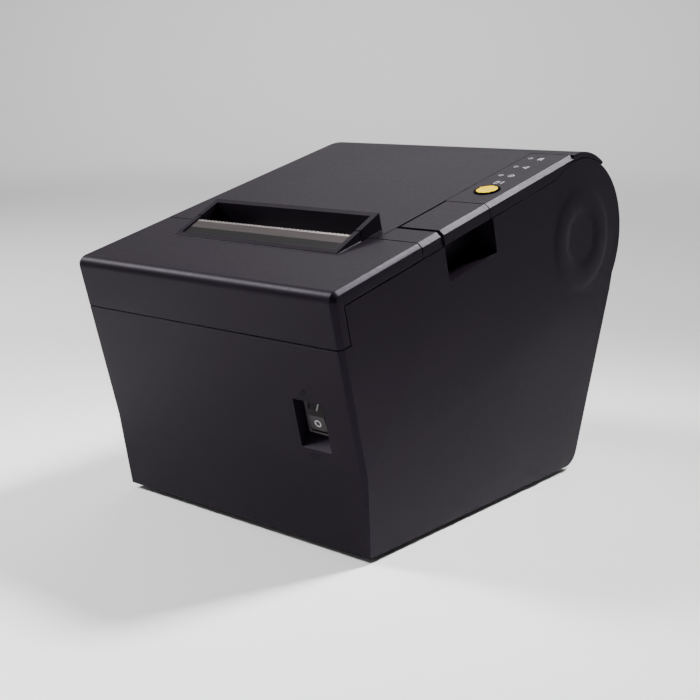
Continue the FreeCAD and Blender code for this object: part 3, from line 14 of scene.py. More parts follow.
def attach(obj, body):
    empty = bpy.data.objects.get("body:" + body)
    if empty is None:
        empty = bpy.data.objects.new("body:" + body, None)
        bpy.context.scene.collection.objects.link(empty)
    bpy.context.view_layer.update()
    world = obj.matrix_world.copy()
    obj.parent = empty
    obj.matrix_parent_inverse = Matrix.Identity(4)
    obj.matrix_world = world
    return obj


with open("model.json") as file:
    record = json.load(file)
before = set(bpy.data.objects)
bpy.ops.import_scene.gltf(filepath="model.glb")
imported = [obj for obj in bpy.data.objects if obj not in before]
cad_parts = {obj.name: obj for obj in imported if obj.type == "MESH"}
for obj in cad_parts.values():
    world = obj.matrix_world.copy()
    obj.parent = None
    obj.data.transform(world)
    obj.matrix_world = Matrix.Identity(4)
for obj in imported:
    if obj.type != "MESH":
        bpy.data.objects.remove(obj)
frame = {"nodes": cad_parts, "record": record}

LOG = logging.getLogger("receipt_printer")
MM = 0.001
SHARP_EDGE = math.radians(35.0)
Colour = tuple[float, float, float]


class Value:
    """A shader socket that takes part in Python sums, so that maths reads as maths."""

    def __init__(self, graph: "Graph", socket: bpy.types.NodeSocket) -> None:
        """Keeps the socket and the graph it belongs to."""
        self.graph = graph
        self.socket = socket

    def _join(self, operation: str, first: Any, second: Any) -> "Value":
        """Adds one Math node.

        Args:
            operation: The Math node's operation.
            first: First operand, a Value or a number.
            second: Second operand, a Value or a number.

        Returns:
            The result as a Value.
        """
        return self.graph.add("ShaderNodeMath", {"operation": operation}, {0: first, 1: second})

    def __add__(self, other: Any) -> "Value":
        """Sum."""
        return self._join("ADD", self, other)

    def __radd__(self, other: Any) -> "Value":
        """Sum with a number on the left."""
        return self._join("ADD", other, self)

    def __sub__(self, other: Any) -> "Value":
        """Difference."""
        return self._join("SUBTRACT", self, other)

    def __rsub__(self, other: Any) -> "Value":
        """Difference with a number on the left."""
        return self._join("SUBTRACT", other, self)

    def __mul__(self, other: Any) -> "Value":
        """Product."""
        return self._join("MULTIPLY", self, other)

    def __rmul__(self, other: Any) -> "Value":
        """Product with a number on the left."""
        return self._join("MULTIPLY", other, self)

    def above(self, limit: float) -> "Value":
        """One where the value is above a limit, and nought elsewhere."""
        return self._join("GREATER_THAN", self, limit)


class Graph:
    """The nodes of a material or of the surroundings while they are being wired."""

    def __init__(self, tree: bpy.types.NodeTree) -> None:
        """Keeps the tree's nodes and links."""
        self.nodes = tree.nodes
        self.links = tree.links

    def add(self, kind: str, settings: dict[str, Any] | None = None,
            inputs: dict[Any, Any] | None = None, out: Any = 0) -> Value:
        """Adds a node.

        Args:
            kind: Blender's node type.
            settings: Properties that are set first.
            inputs: Socket names or numbers with their values or links.
            out: Name or number of the output that is wanted.

        Returns:
            The chosen output.
        """
        node = self.nodes.new(kind)
        for key, value in (settings or {}).items():
            setattr(node, key, value)
        for key, value in (inputs or {}).items():
            self.feed(node.inputs[key], value)
        return Value(self, node.outputs[out])

    def feed(self, socket: bpy.types.NodeSocket, value: Any) -> None:
        """Links a Value to a socket, or sets a plain number, vector or colour on it.

        Args:
            socket: The socket that is fed.
            value: What it gets.
        """
        if isinstance(value, Value):
            self.links.new(value.socket, socket)
        elif isinstance(value, tuple) and len(value) == 3 and socket.type == "RGBA":
            socket.default_value = (*value, 1.0)
        else:
            socket.default_value = value


class Shader(Graph):
    """One Principled material while it is being wired."""

    def __init__(self, name: str) -> None:
        """Starts an empty material.

        Args:
            name: Name of the material.
        """
        self.material = bpy.data.materials.new(name)
        self.material.use_nodes = True
        super().__init__(self.material.node_tree)
        self.surface = self.nodes["Principled BSDF"]
        self.place = self.add("ShaderNodeTexCoord", out="Object")

    def noise(self, scale: float, detail: float = 2.0, stretch: Sequence[float] | None = None) -> Value:
        """Smooth noise on the piece's own coordinates.

        Args:
            scale: Cells per metre.
            detail: Octaves of finer noise.
            stretch: Factors along X, Y and Z, for grain that runs one way.

        Returns:
            The noise, near 0.5 on average.
        """
        place = self.place
        if stretch is not None:
            place = self.add("ShaderNodeMapping", {}, {"Vector": place, "Scale": tuple(stretch)})
        return self.add("ShaderNodeTexNoise", {}, {"Vector": place, "Scale": scale, "Detail": detail}, "Fac")

    def blend(self, factor: Any, first: Any, second: Any) -> Value:
        """Mixes two colours.

        Args:
            factor: Share of the second colour.
            first: First colour.
            second: Second colour.

        Returns:
            The mixed colour.
        """
        return self.add("ShaderNodeMix", {"data_type": "RGBA"}, {0: factor, 6: first, 7: second}, 2)

    def bump(self, height: Value, depth: float, strength: float = 0.5) -> None:
        """Gives the surface a fine relief.

        Args:
            height: Pattern of the relief.
            depth: Its depth in metres.
            strength: How strongly it shows.
        """
        normal = self.add("ShaderNodeBump", {}, {"Height": height, "Distance": depth, "Strength": strength})
        self.feed(self.surface.inputs["Normal"], normal)

    def wear(self, **inputs: Any) -> bpy.types.Material:
        """Feeds the surface's sockets.

        Args:
            inputs: Sockets by name, with underscores for spaces, and what they get.

        Returns:
            The finished material.
        """
        for key, value in inputs.items():
            self.feed(self.surface.inputs[key.replace("_", " ")], value)
        return self.material


@dataclass(frozen=True)
class Deck:
    """The sloping top: places on it are across, run back from the nose, and rise square to it."""

    tilt: float = 14.4
    nose_reach: float = 98.85
    nose_height: float = 102.6

    def matrix(self, across: float = 0.0, run: float = 0.0, rise: float = 0.0) -> Matrix:
        """Frame of the deck at a place, from millimetres on the deck to metres in space.

        Args:
            across: Place across the width.
            run: Place along the slope.
            rise: Place square to the slope.

        Returns:
            The matrix.
        """
        return (Matrix.Scale(MM, 4) @ Matrix.Translation((0.0, -self.nose_reach, self.nose_height))
                @ Matrix.Rotation(math.radians(self.tilt), 4, "X") @ Matrix.Translation((across, run, rise)))


DECK = Deck()


@dataclass(frozen=True)
class Finish:
    """A named surface finish."""

    name: str
    colour: Colour

    def shade(self, factor: float) -> Colour:
        """The colour made lighter or darker by a factor."""
        return tuple(min(1.0, channel * factor) for channel in self.colour)

    def make(self) -> bpy.types.Material:
        """Wires the material."""
        raise NotImplementedError


@dataclass(frozen=True)
class MouldedPlastic(Finish):
    """Moulded plastic with spark-eroded grain and faint flow clouding."""

    roughness: float = 0.45
    grain_depth: float = 0.00002
    grain_scale: float = 1500.0
    cloud_scale: float = 14.0
    specular: float = 0.12
    gloss_tint: Colour = (1.0, 1.0, 1.0)

    def tint(self, shader: Shader, tone: Value) -> Value:
        """Colour over the surface: darker and lighter clouds of the same tint."""
        return shader.blend(tone, self.shade(0.8), self.shade(1.2))

    def make(self) -> bpy.types.Material:
        """Wires the plastic.

        Returns:
            The material.
        """
        shader = Shader(self.name)
        grain = shader.noise(self.grain_scale, 3.0)
        speck = shader.noise(self.grain_scale * 0.43, 2.0)
        cloud = shader.noise(self.cloud_scale, 3.0)
        tone = cloud * 0.5 + grain * 0.3 + speck * 0.2
        shader.bump(grain * 0.7 + speck * 0.3, self.grain_depth, 0.5)
        return shader.wear(Base_Color=self.tint(shader, tone), Specular_IOR_Level=self.specular,
                           Specular_Tint=self.gloss_tint,
                           Roughness=self.roughness + 0.14 * (speck - 0.5) + 0.1 * (cloud - 0.5))


@dataclass(frozen=True)
class CollaredPlastic(MouldedPlastic):
    """Moulded plastic of a round cap whose rim stays black."""

    middle: tuple[float, float, float] = (58.2, 109.4, 0.0)
    cap_radius: float = 4.35
    rim: Colour = (0.006, 0.006, 0.006)

    def tint(self, shader: Shader, tone: Value) -> Value:
        """The cap's colour inside its radius and the rim's colour outside it.

        Args:
            shader: The material that is being wired.
            tone: The clouding of the cap's colour.

        Returns:
            The colour.
        """
        centre = DECK.matrix(*self.middle).translation
        offset = shader.add("ShaderNodeVectorMath", {"operation": "SUBTRACT"}, {0: shader.place, 1: tuple(centre)})
        rise = DECK.matrix().to_3x3().col[2].normalized()
        away = shader.add("ShaderNodeVectorMath", {"operation": "CROSS_PRODUCT"}, {0: offset, 1: tuple(rise)})
        radius = shader.add("ShaderNodeVectorMath", {"operation": "LENGTH"}, {0: away}, "Value")
        return shader.blend(radius.above(self.cap_radius * MM), super().tint(shader, tone), self.rim)


@dataclass(frozen=True)
class BrushedMetal(Finish):
    """Sheet or turned metal with fine lines along one way."""

    roughness: float = 0.34
    stretch: tuple[float, float, float] = (0.04, 1.0, 1.0)
    lines: float = 1800.0
    line_depth: float = 0.00002

    def make(self) -> bpy.types.Material:
        """Wires the metal.

        Returns:
            The material.
        """
        shader = Shader(self.name)
        lines = shader.noise(self.lines, 3.0, self.stretch)
        bloom = shader.noise(35.0, 3.0)
        colour = shader.blend(lines * 0.6 + bloom * 0.4, self.shade(0.8), self.shade(1.12))
        shader.bump(lines, self.line_depth, 0.4)
        return shader.wear(Base_Color=colour, Metallic=1.0,
                           Roughness=self.roughness + 0.22 * (lines - 0.5) + 0.12 * (bloom - 0.5))


@dataclass(frozen=True)
class GroundEdgeMetal(BrushedMetal):
    """Coated sheet with a painted shadow over its foot and a ground tearing edge painted bright as a highlight."""

    foot_run: float = 39.6
    edge_run: float = 43.9
    # Painted shadow: a near-black colour laid over the foot of the bar, where it lies in shade.
    black: Colour = (0.012, 0.011, 0.012)
    # Painted highlight: a bright uncoated metal colour on the ground tearing edge, standing for the light it
    # catches.
    bare: Colour = (0.55, 0.5, 0.48)

    def make(self) -> bpy.types.Material:
        """Wires the coated sheet, the painted shadow over its foot and the painted highlight on its ground edge.

        Returns:
            The material.
        """
        shader = Shader(self.name)
        lines = shader.noise(self.lines, 3.0, self.stretch)
        along = DECK.matrix().to_3x3().col[1].normalized()
        nose = DECK.matrix().translation
        run = shader.add("ShaderNodeVectorMath", {"operation": "DOT_PRODUCT"}, {0: shader.place, 1: tuple(along)},
                         "Value") - nose.dot(along) + 0.0003 * (lines - 0.5)
        # Mask of the painted highlight along the ground edge.
        edge = run.above(self.edge_run * MM)
        coat = shader.blend(lines, self.shade(0.75), self.shade(1.25))
        # Painted shadow: the foot, lower on the slope, is laid in near-black.
        body = shader.blend(run.above(self.foot_run * MM), self.black, coat)
        shader.bump(lines, self.line_depth, 0.4)
        # Painted highlight: the ground edge takes the bright uncoated colour.
        return shader.wear(Base_Color=shader.blend(edge, body, self.bare), Metallic=1.0,
                           Roughness=self.roughness + 0.2 * (lines - 0.5) - 0.12 * edge)


@dataclass(frozen=True)
class SoftRubber(Finish):
    """Matt rubber with a dusty bloom."""

    def make(self) -> bpy.types.Material:
        """Wires the rubber.

        Returns:
            The material.
        """
        shader = Shader(self.name)
        dust = shader.noise(90.0, 4.0)
        pores = shader.noise(2400.0, 2.0)
        shader.bump(pores, 0.00005, 0.5)
        return shader.wear(Base_Color=shader.blend(dust, self.shade(0.7), self.shade(1.6)),
                           Roughness=0.8 + 0.2 * (dust - 0.5))


@dataclass(frozen=True)
class CircuitBoard(Finish):
    """Solder resist over a net of copper tracks."""

    def make(self) -> bpy.types.Material:
        """Wires the board.

        Returns:
            The material.
        """
        shader = Shader(self.name)
        tracks = shader.add("ShaderNodeTexBrick", {"offset": 0.37, "squash": 0.6},
                            {"Vector": shader.place, "Scale": 260.0, "Mortar Size": 0.012}, "Fac")
        weave = shader.noise(900.0, 2.0)
        colour = shader.blend(tracks * 0.7, shader.blend(weave, self.shade(0.85), self.shade(1.1)), self.shade(2.1))
        shader.bump(tracks, 0.00004, 0.5)
        return shader.wear(Base_Color=colour, Roughness=0.32 + 0.1 * (weave - 0.5))


@dataclass(frozen=True)
class ClearLens(Finish):
    """Frosted light pipe."""

    def make(self) -> bpy.types.Material:
        """Wires the lens.

        Returns:
            The material.
        """
        shader = Shader(self.name)
        frost = shader.noise(1600.0, 2.0)
        shader.surface.inputs["Transmission Weight"].default_value = 0.35
        return shader.wear(Base_Color=shader.blend(frost, self.shade(0.85), self.shade(1.1)),
                           Roughness=0.25 + 0.2 * (frost - 0.5))


@dataclass(frozen=True)
class PrintedInk(Finish):
    """Pad-printed ink with slightly broken cover."""

    def make(self) -> bpy.types.Material:
        """Wires the ink.

        Returns:
            The material.
        """
        shader = Shader(self.name)
        cover = shader.noise(2200.0, 2.0)
        return shader.wear(Base_Color=shader.blend(cover, self.shade(0.8), self.shade(1.1)),
                           Roughness=0.6 + 0.1 * (cover - 0.5))


@dataclass(frozen=True)
class PaleFloor(Finish):
    """Even matt studio floor."""

    def make(self) -> bpy.types.Material:
        """Wires the floor.

        Returns:
            The material.
        """
        shader = Shader(self.name)
        tone = shader.noise(3.0, 2.0)
        return shader.wear(Base_Color=shader.blend(tone, self.shade(0.995), self.shade(1.005)), Roughness=0.75)


class Slot(Enum):
    """Finish of each material slot of the record."""

    case = MouldedPlastic("charcoal_case", (0.0066, 0.0043, 0.0076), roughness=0.42, specular=0.08,
                          gloss_tint=(1.0, 0.85, 1.1))
    inner_black = MouldedPlastic("black_moulding", (0.020, 0.019, 0.021), roughness=0.5, specular=0.25)
    feet = SoftRubber("foot_rubber", (0.010, 0.010, 0.011))
    screws = BrushedMetal("zinc_screw", (0.62, 0.62, 0.6), roughness=0.3)
    lens = ClearLens("light_pipe", (0.16, 0.16, 0.17))
    board = CircuitBoard("green_board", (0.010, 0.09, 0.04))
    switch_black = MouldedPlastic("switch_moulding", (0.035, 0.032, 0.034), roughness=0.4, grain_depth=0.00003)
    button_yellow = CollaredPlastic("yellow_button", (0.70, 0.48, 0.0), roughness=0.5, specular=0.0)
    steel = BrushedMetal("ground_steel", (0.6, 0.6, 0.6), roughness=0.28)
    platen_black = SoftRubber("platen_rubber_finish", (0.014, 0.014, 0.015))
    white_plastic = MouldedPlastic("natural_acetal", (0.72, 0.7, 0.64), roughness=0.4)
    brass_gear = BrushedMetal("cut_brass", (0.78, 0.58, 0.25), roughness=0.3)
    motor_case = BrushedMetal("plated_can", (0.5, 0.5, 0.51), roughness=0.36, stretch=(1.0, 0.06, 0.06))
    steel_sheet = BrushedMetal("zinc_sheet", (0.55, 0.56, 0.57), roughness=0.38)
    ceramic_head = MouldedPlastic("glazed_substrate", (0.66, 0.62, 0.54), roughness=0.2, grain_depth=0.00001)
    sink = BrushedMetal("extruded_aluminium", (0.7, 0.7, 0.72), roughness=0.36)
    tear_steel = GroundEdgeMetal("tear_bar_steel", (0.075, 0.062, 0.062), roughness=0.4)
    plate_metal = BrushedMetal("socket_shield", (0.6, 0.6, 0.62), roughness=0.3)
    socket_black = MouldedPlastic("socket_moulding", (0.010, 0.010, 0.011), roughness=0.4, grain_depth=0.00003)


INK = PrintedInk("pale_ink", (0.5, 0.49, 0.5))
GOLD = BrushedMetal("gold_contact", (0.85, 0.63, 0.28), roughness=0.25)
CHIP = MouldedPlastic("chip_moulding", (0.016, 0.016, 0.017), roughness=0.5, grain_depth=0.00003)
FLOOR = PaleFloor("studio_floor", (0.93, 0.93, 0.93))


@cache
def material_of(finish: Finish) -> bpy.types.Material:
    """The material of a finish, wired once.

    Args:
        finish: The finish that is wanted.

    Returns:
        Its material.
    """
    return finish.make()


def add_piece(name: str, mesh: bmesh.types.BMesh, look: Slot | Finish, body: str) -> None:
    """Turns a bmesh into a piece that rides on a body.

    Args:
        name: Name of the piece.
        mesh: Its shape in metres, in the printer's frame. It is freed.
        look: Its finish, or the slot of the record that it takes its finish from.
        body: The body that carries it.
    """
    bmesh.ops.recalc_face_normals(mesh, faces=mesh.faces)
    data = bpy.data.meshes.new(name)
    mesh.to_mesh(data)
    mesh.free()
    data.materials.append(material_of(look.value if isinstance(look, Slot) else look))
    piece = bpy.data.objects.new(name, data)
    bpy.context.scene.collection.objects.link(piece)
    data.shade_smooth()
    data.set_sharp_from_angle(angle=SHARP_EDGE)
    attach(piece, body)
    LOG.info("piece %s on %s: %d faces", name, body, len(data.polygons))


def bevelled_block(mesh: bmesh.types.BMesh, low: Sequence[float], high: Sequence[float], edge: float) -> list:
    """Adds a block with rounded edges.

    Args:
        mesh: The bmesh that takes it.
        low: Lowest corner in millimetres.
        high: Highest corner in millimetres.
        edge: Radius of its edges in millimetres.

    Returns:
        The block's vertices.
    """
    middle = Vector([(a + b) / 2 for a, b in zip(low, high)])
    span = Vector([b - a for a, b in zip(low, high)])
    place = Matrix.Translation(middle) @ Matrix.Diagonal((*span, 1.0))
    verts = bmesh.ops.create_cube(mesh, size=1.0, matrix=place)["verts"]
    edges = list({e for v in verts for e in v.link_edges})
    made = bmesh.ops.bevel(mesh, geom=edges, offset=edge, affect="EDGES", segments=2, profile=0.5, material=-1)
    return list({v for f in made["faces"] for v in f.verts} | {v for v in verts if v.is_valid})


def rounded_rod(mesh: bmesh.types.BMesh, place: Matrix, radius: float, length: float, edge: float) -> None:
    """Adds a rod that stands on a place and whose far rim is rounded.

    Args:
        mesh: The bmesh that takes it.
        place: Frame of its foot, with Z along the rod.
        radius: Its radius in millimetres.
        length: Its length in millimetres.
        edge: Radius of its far rim in millimetres.
    """
    verts = bmesh.ops.create_cone(mesh, cap_ends=True, segments=24, radius1=radius, radius2=radius, depth=length,
                                  matrix=place @ Matrix.Translation((0.0, 0.0, length / 2)))["verts"]
    back = place.inverted()
    rim = [line for line in {e for v in verts for e in v.link_edges}
           if all((back @ v.co).z > length / 2 for v in line.verts)]
    bmesh.ops.bevel(mesh, geom=rim, offset=edge, affect="EDGES", segments=3, profile=0.5, material=-1)


def outlined_shape(mesh: bmesh.types.BMesh, centre: tuple[float, float], radius: float, line: float, sides: int,
                   turn: float = 0.0, stretch: tuple[float, float] = (1.0, 1.0)) -> list:
    """Adds a flat outline of a regular shape, such as a ring, a frame or a triangle.

    Args:
        mesh: The bmesh that takes it.
        centre: Middle of the shape.
        radius: Radius of its outer corners.
        line: Width of the line, measured along the radius.
        sides: Number of sides.
        turn: Angle of the first corner in degrees.
        stretch: Factors across and along.

    Returns:
        The new vertices.
    """
    place = (Matrix.Translation((*centre, 0.0)) @ Matrix.Diagonal((*stretch, 1.0, 1.0))
             @ Matrix.Rotation(math.radians(turn), 4, "Z"))
    outer = bmesh.ops.create_circle(mesh, segments=sides, radius=radius, matrix=place)["verts"]
    inner = bmesh.ops.create_circle(mesh, segments=sides, radius=radius - line, matrix=place)["verts"]
    edges = list({e for v in outer + inner for e in v.link_edges})
    bmesh.ops.bridge_loops(mesh, edges=edges)
    return outer + inner


def filled_shape(mesh: bmesh.types.BMesh, centre: tuple[float, float], radius: float, sides: int, turn: float = 0.0,
                 stretch: tuple[float, float] = (1.0, 1.0)) -> list:
    """Adds a flat filled shape, such as a bar, a dot or an arrow head.

    Args:
        mesh: The bmesh that takes it.
        centre: Middle of the shape.
        radius: Radius of its corners.
        sides: Number of sides.
        turn: Angle of the first corner in degrees.
        stretch: Factors across and along.

    Returns:
        The new vertices.
    """
    place = (Matrix.Translation((*centre, 0.0)) @ Matrix.Diagonal((*stretch, 1.0, 1.0))
             @ Matrix.Rotation(math.radians(turn), 4, "Z"))
    return bmesh.ops.create_circle(mesh, cap_ends=True, segments=sides, radius=radius, matrix=place)["verts"]


def bar(mesh: bmesh.types.BMesh, centre: tuple[float, float], width: float, length: float) -> list:
    """Adds a flat filled bar of a width across and a length along."""
    corner = math.sqrt(0.5)
    return filled_shape(mesh, centre, corner, 4, 45.0, (width, length))


def thicken(mesh: bmesh.types.BMesh, height: float) -> None:
    """Raises every flat face of a mark into a thin layer.

    Args:
        mesh: The bmesh of the mark, flat at nought.
        height: Thickness of the layer in millimetres.
    """
    made = bmesh.ops.extrude_face_region(mesh, geom=list(mesh.faces))["geom"]
    top = [item for item in made if isinstance(item, bmesh.types.BMVert)]
    bmesh.ops.translate(mesh, vec=(0.0, 0.0, height), verts=top)


@dataclass
class CaseShells:
    """The CAD nodes: each one keeps its shape, gets its finish, and soft edges where it is moulded."""

    moulded: tuple[str, ...] = ("main_housing", "front_cover", "paper_cover", "control_panel", "release_lever",
                                "feed_button", "power_switch", "power_rocker", "paper_tray", "base_plate")
    edge_radius: float = 0.35
    edge_steps: int = 2
    joined_within: float = 0.002
    area_weight: int = 100

    def dress(self, nodes: dict[str, bpy.types.Object], subparts: Iterable[dict[str, str]]) -> None:
        """Gives each node the finish of its slot.

        Args:
            nodes: The CAD nodes by name.
            subparts: The record's list of nodes and slots.
        """
        for entry in subparts:
            node = nodes[entry["node"]]
            finish = Slot[entry["material_slot"]].value
            node.data.materials.clear()
            node.data.materials.append(material_of(finish))
            LOG.info("node %s in %s", node.name, finish.name)

    def soften(self, nodes: dict[str, bpy.types.Object]) -> None:
        """Rounds the moulded nodes' edges with live modifiers.

        Args:
            nodes: The CAD nodes by name.
        """
        for name in self.moulded:
            node = nodes[name]
            weld = node.modifiers.new("joined_faces", "WELD")
            weld.merge_threshold = self.joined_within * MM
            edge = node.modifiers.new("moulded_edges", "BEVEL")
            edge.width = self.edge_radius * MM
            edge.segments = self.edge_steps
            edge.limit_method = "ANGLE"
            edge.angle_limit = SHARP_EDGE
            edge.use_clamp_overlap = True
            even = node.modifiers.new("even_shading", "WEIGHTED_NORMAL")
            even.mode = "FACE_AREA"
            even.weight = self.area_weight


@dataclass
class PanelMarks:
    """Printed pictograms beside the feed button and the indicator lenses."""

    across: float = 57.6
    layer: float = 0.05
    line: float = 0.32
    feed_run: float = 119.2
    light_runs: tuple[float, ...] = (128.0, 139.6, 151.2)

    def build(self) -> None:
        """Makes the marks and sets them on the panel."""
        self._place("feed_mark", self.feed_run, self._sheet_and_arrow)
        for name, run, draw in zip(("power_mark", "fault_mark", "paper_mark"), self.light_runs,
                                   (self._power, self._fault, self._paper)):
            self._place(name, run, draw)

    def _place(self, name: str, run: float, draw: Callable[[bmesh.types.BMesh], None]) -> None:
        """Draws one mark and lays it on the deck.

        Args:
            name: Name of the piece.
            run: Its place along the slope.
            draw: Method that draws it flat about the origin.
        """
        mesh = bmesh.new()
        draw(mesh)
        thicken(mesh, self.layer)
        bmesh.ops.transform(mesh, matrix=DECK.matrix(self.across, run, 0.0), verts=mesh.verts)
        add_piece(name, mesh, INK, "housing")

    def _sheet_and_arrow(self, mesh: bmesh.types.BMesh) -> None:
        """A sheet of paper with an arrow along it.

        Args:
            mesh: The bmesh that takes it.
        """
        outlined_shape(mesh, (-1.2, 0.0), 1.7, self.line * 1.4, 4, 45.0, (0.8, 1.15))
        bar(mesh, (1.3, -0.4), self.line * 1.2, 2.0)
        filled_shape(mesh, (1.3, 0.9), 0.8, 3, 90.0)

    def _power(self, mesh: bmesh.types.BMesh) -> None:
        """A round outline with an upright bar."""
        outlined_shape(mesh, (0.0, 0.0), 1.35, self.line, 28)
        bar(mesh, (0.0, 0.0), self.line, 1.2)

    def _fault(self, mesh: bmesh.types.BMesh) -> None:
        """A triangle with a bar and a dot.

        Args:
            mesh: The bmesh that takes it.
        """
        outlined_shape(mesh, (0.0, -0.2), 1.75, self.line * 1.8, 3, 90.0)
        bar(mesh, (0.0, 0.05), self.line * 0.8, 0.7)
        filled_shape(mesh, (0.0, -0.6), 0.17, 12)

    def _paper(self, mesh: bmesh.types.BMesh) -> None:
        """A sheet of paper with two lines on it.

        Args:
            mesh: The bmesh that takes it.
        """
        outlined_shape(mesh, (0.0, 0.0), 1.75, self.line * 1.4, 4, 45.0, (0.8, 1.1))
        bar(mesh, (0.0, 0.35), 0.9, self.line * 0.8)
        bar(mesh, (0.0, -0.3), 0.9, self.line * 0.8)


@dataclass
class SwitchMarks:
    """The bar and the ring on the two faces of the rocker, and a printed mark above the recess."""

    across: float = 48.0
    pivot_run: float = 6.0
    drop: float = 51.3
    lean: float = 11.0
    face: float = 3.4
    half_height: float = 6.1
    layer: float = 0.12
    line: float = 0.5
    mark_top: float = -40.2
    mark_bottom: float = -65.4
    mark_across: float = 46.4

    def _point(self, forward: float, up: float) -> tuple[float, float]:
        """A point of the resting rocker.

        Args:
            forward: How far it is ahead of the pivot.
            up: How far it is above the pivot.

        Returns:
            Its run and its rise on the deck.
        """
        lean = math.radians(self.lean)
        return (self.pivot_run - (forward * math.cos(lean) - up * math.sin(lean)),
                up * math.cos(lean) + forward * math.sin(lean) - self.drop)

    def _face_matrix(self, upper: bool) -> Matrix:
        """Frame of the middle of one face: across, up the face, and out of it.

        Args:
            upper: True for the upper face.

        Returns:
            The matrix from millimetres on the face to metres in space.
        """
        edge = self._point(self.face / 3, self.half_height if upper else -self.half_height)
        ridge = self._point(self.face, 0.0)
        low, high = (ridge, edge) if upper else (edge, ridge)
        slope = Vector((0.0, high[0] - low[0], high[1] - low[1])).normalized()
        across = Vector((1.0, 0.0, 0.0))
        out = across.cross(slope)
        turn = Matrix((across, slope, out)).transposed().to_4x4()
        middle = Vector((self.across, (low[0] + high[0]) / 2, (low[1] + high[1]) / 2))
        return DECK.matrix() @ Matrix.Translation(middle) @ turn

    def build(self) -> None:
        """Makes the marks."""
        stroke = bmesh.new()
        bar(stroke, (0.0, 0.0), self.line, 2.6)
        self._finish("rocker_on_mark", stroke, self._face_matrix(True), INK, "rocker")
        ring = bmesh.new()
        outlined_shape(ring, (0.0, 0.0), 1.5, self.line, 32)
        self._finish("rocker_off_mark", ring, self._face_matrix(False), INK, "rocker")
        raised = bmesh.new()
        outlined_shape(raised, (0.0, 0.0), 1.3, 0.3, 32)
        bar(raised, (0.0, 0.75), 0.3, 1.3)
        self._finish("switch_power_mark", raised, self._front_matrix(self.mark_top), Slot.case, "housing")
        steps = bmesh.new()
        for number, length in enumerate((6.0, 4.4, 2.8)):
            bar(steps, (0.0, -0.9 * number), length, 0.32)
        self._finish("switch_ledge_mark", steps, self._front_matrix(self.mark_bottom), Slot.case, "housing")

    def _front_matrix(self, rise: float) -> Matrix:
        """Frame of a place on the front wall beside the switch: across, up the wall, and out of it.

        Args:
            rise: Place along the wall, counted square to the deck.

        Returns:
            The matrix from millimetres on the wall to metres in space.
        """
        return DECK.matrix(self.mark_across, 0.0, rise) @ Matrix.Rotation(math.radians(90.0), 4, "X")

    def _finish(self, name: str, mesh: bmesh.types.BMesh, place: Matrix, look: Slot | Finish, body: str) -> None:
        """Thickens a flat mark, brings it to its place and adds it.

        Args:
            name: Name of the piece.
            mesh: The flat mark.
            place: Frame of its place.
            look: Its finish or its slot.
            body: The body that carries it.
        """
        thicken(mesh, self.layer)
        bmesh.ops.transform(mesh, matrix=place, verts=mesh.verts)
        add_piece(name, mesh, look, body)


@dataclass
class RearSockets:
    """Contacts inside the four rear sockets, and the roof over the bay for their plugs."""

    back: float = 56.8
    contact: float = 0.25
    pitch: float = 1.02
    places: dict[str, float] = field(default_factory=lambda: {"power": -28.0, "usb": -8.0, "network": 12.0,
                                                              "drawer": 30.0})
    pin_places: tuple[tuple[float, float], ...] = ((-2.6, 15.4), (2.6, 15.4), (0.0, 19.4))
    spring_lean: float = 18.0
    rib_places: tuple[float, ...] = (-30.0, -10.0, 10.0, 30.0)
    roof_half: float = 43.4
    roof_low: float = 34.3
    roof_front: float = 63.0
    roof_rear: float = 77.9
    roof_wall: float = 1.4

    def build(self) -> None:
        """Makes the pins, the tongue, the springs and the roof."""
        self._pins()
        self._tongue()
        self._springs("network", 8, 19.2)
        self._springs("drawer", 6, 18.2)
        self._roof()

    def _finish(self, name: str, mesh: bmesh.types.BMesh, look: Slot | Finish) -> None:
        """Brings a detail to metres and adds it."""
        bmesh.ops.scale(mesh, vec=(MM, MM, MM), verts=mesh.verts)
        add_piece(name, mesh, look, "housing")

    def _pins(self) -> None:
        """Three round power pins with domed tips."""
        mesh = bmesh.new()
        for across, height in self.pin_places:
            rounded_rod(mesh, Matrix.Translation((self.places["power"] + across, self.back, height))
                        @ Matrix.Rotation(math.radians(-90.0), 4, "X"), 0.75, 6.6, 0.35)
        self._finish("power_pins", mesh, GOLD)

    def _tongue(self) -> None:
        """A square plastic tongue with four contact strips."""
        middle = self.places["usb"]
        mesh = bmesh.new()
        bevelled_block(mesh, (middle - 2.6, self.back, 15.0), (middle + 2.6, self.back + 8.0, 17.6), 0.3)
        self._finish("usb_tongue", mesh, Slot.white_plastic)
        strips = bmesh.new()
        for across in (middle - 1.2, middle + 1.2):
            for height in (14.86, 17.54):
                bevelled_block(strips, (across - 0.5, self.back + 0.4, height),
                               (across + 0.5, self.back + 7.0, height + 0.2), 0.06)
        self._finish("usb_strips", strips, GOLD)

    def _springs(self, name: str, count: int, height: float) -> None:
        """A row of contact springs that lean up towards a socket's roof.

        Args:
            name: Socket they belong to.
            count: Number of springs.
            height: Height of their roots.
        """
        mesh = bmesh.new()
        lean = Matrix.Rotation(math.radians(self.spring_lean), 3, "X")
        for number in range(count):
            across = self.places[name] + (number - (count - 1) / 2) * self.pitch
            verts = bevelled_block(mesh, (across - self.contact, self.back - 0.3, height),
                                   (across + self.contact, self.back + 8.0, height + 0.3), 0.05)
            bmesh.ops.rotate(mesh, cent=(across, self.back, height), matrix=lean, verts=verts)
        self._finish(f"{name}_springs", mesh, GOLD)

    def _roof(self) -> None:
        """A ribbed sheet from the top of the interface plate to the rear wall."""
        mesh = bmesh.new()
        top = self.roof_low + self.roof_wall
        bevelled_block(mesh, (-self.roof_half, self.roof_front, self.roof_low),
                       (self.roof_half, self.roof_rear, top), 0.3)
        for across in self.rib_places:
            bevelled_block(mesh, (across - 0.6, self.roof_front + 0.8, top - 0.4),
                           (across + 0.6, self.roof_rear - 0.6, top + 2.2), 0.3)
        self._finish("plug_bay_roof", mesh, Slot.inner_black)


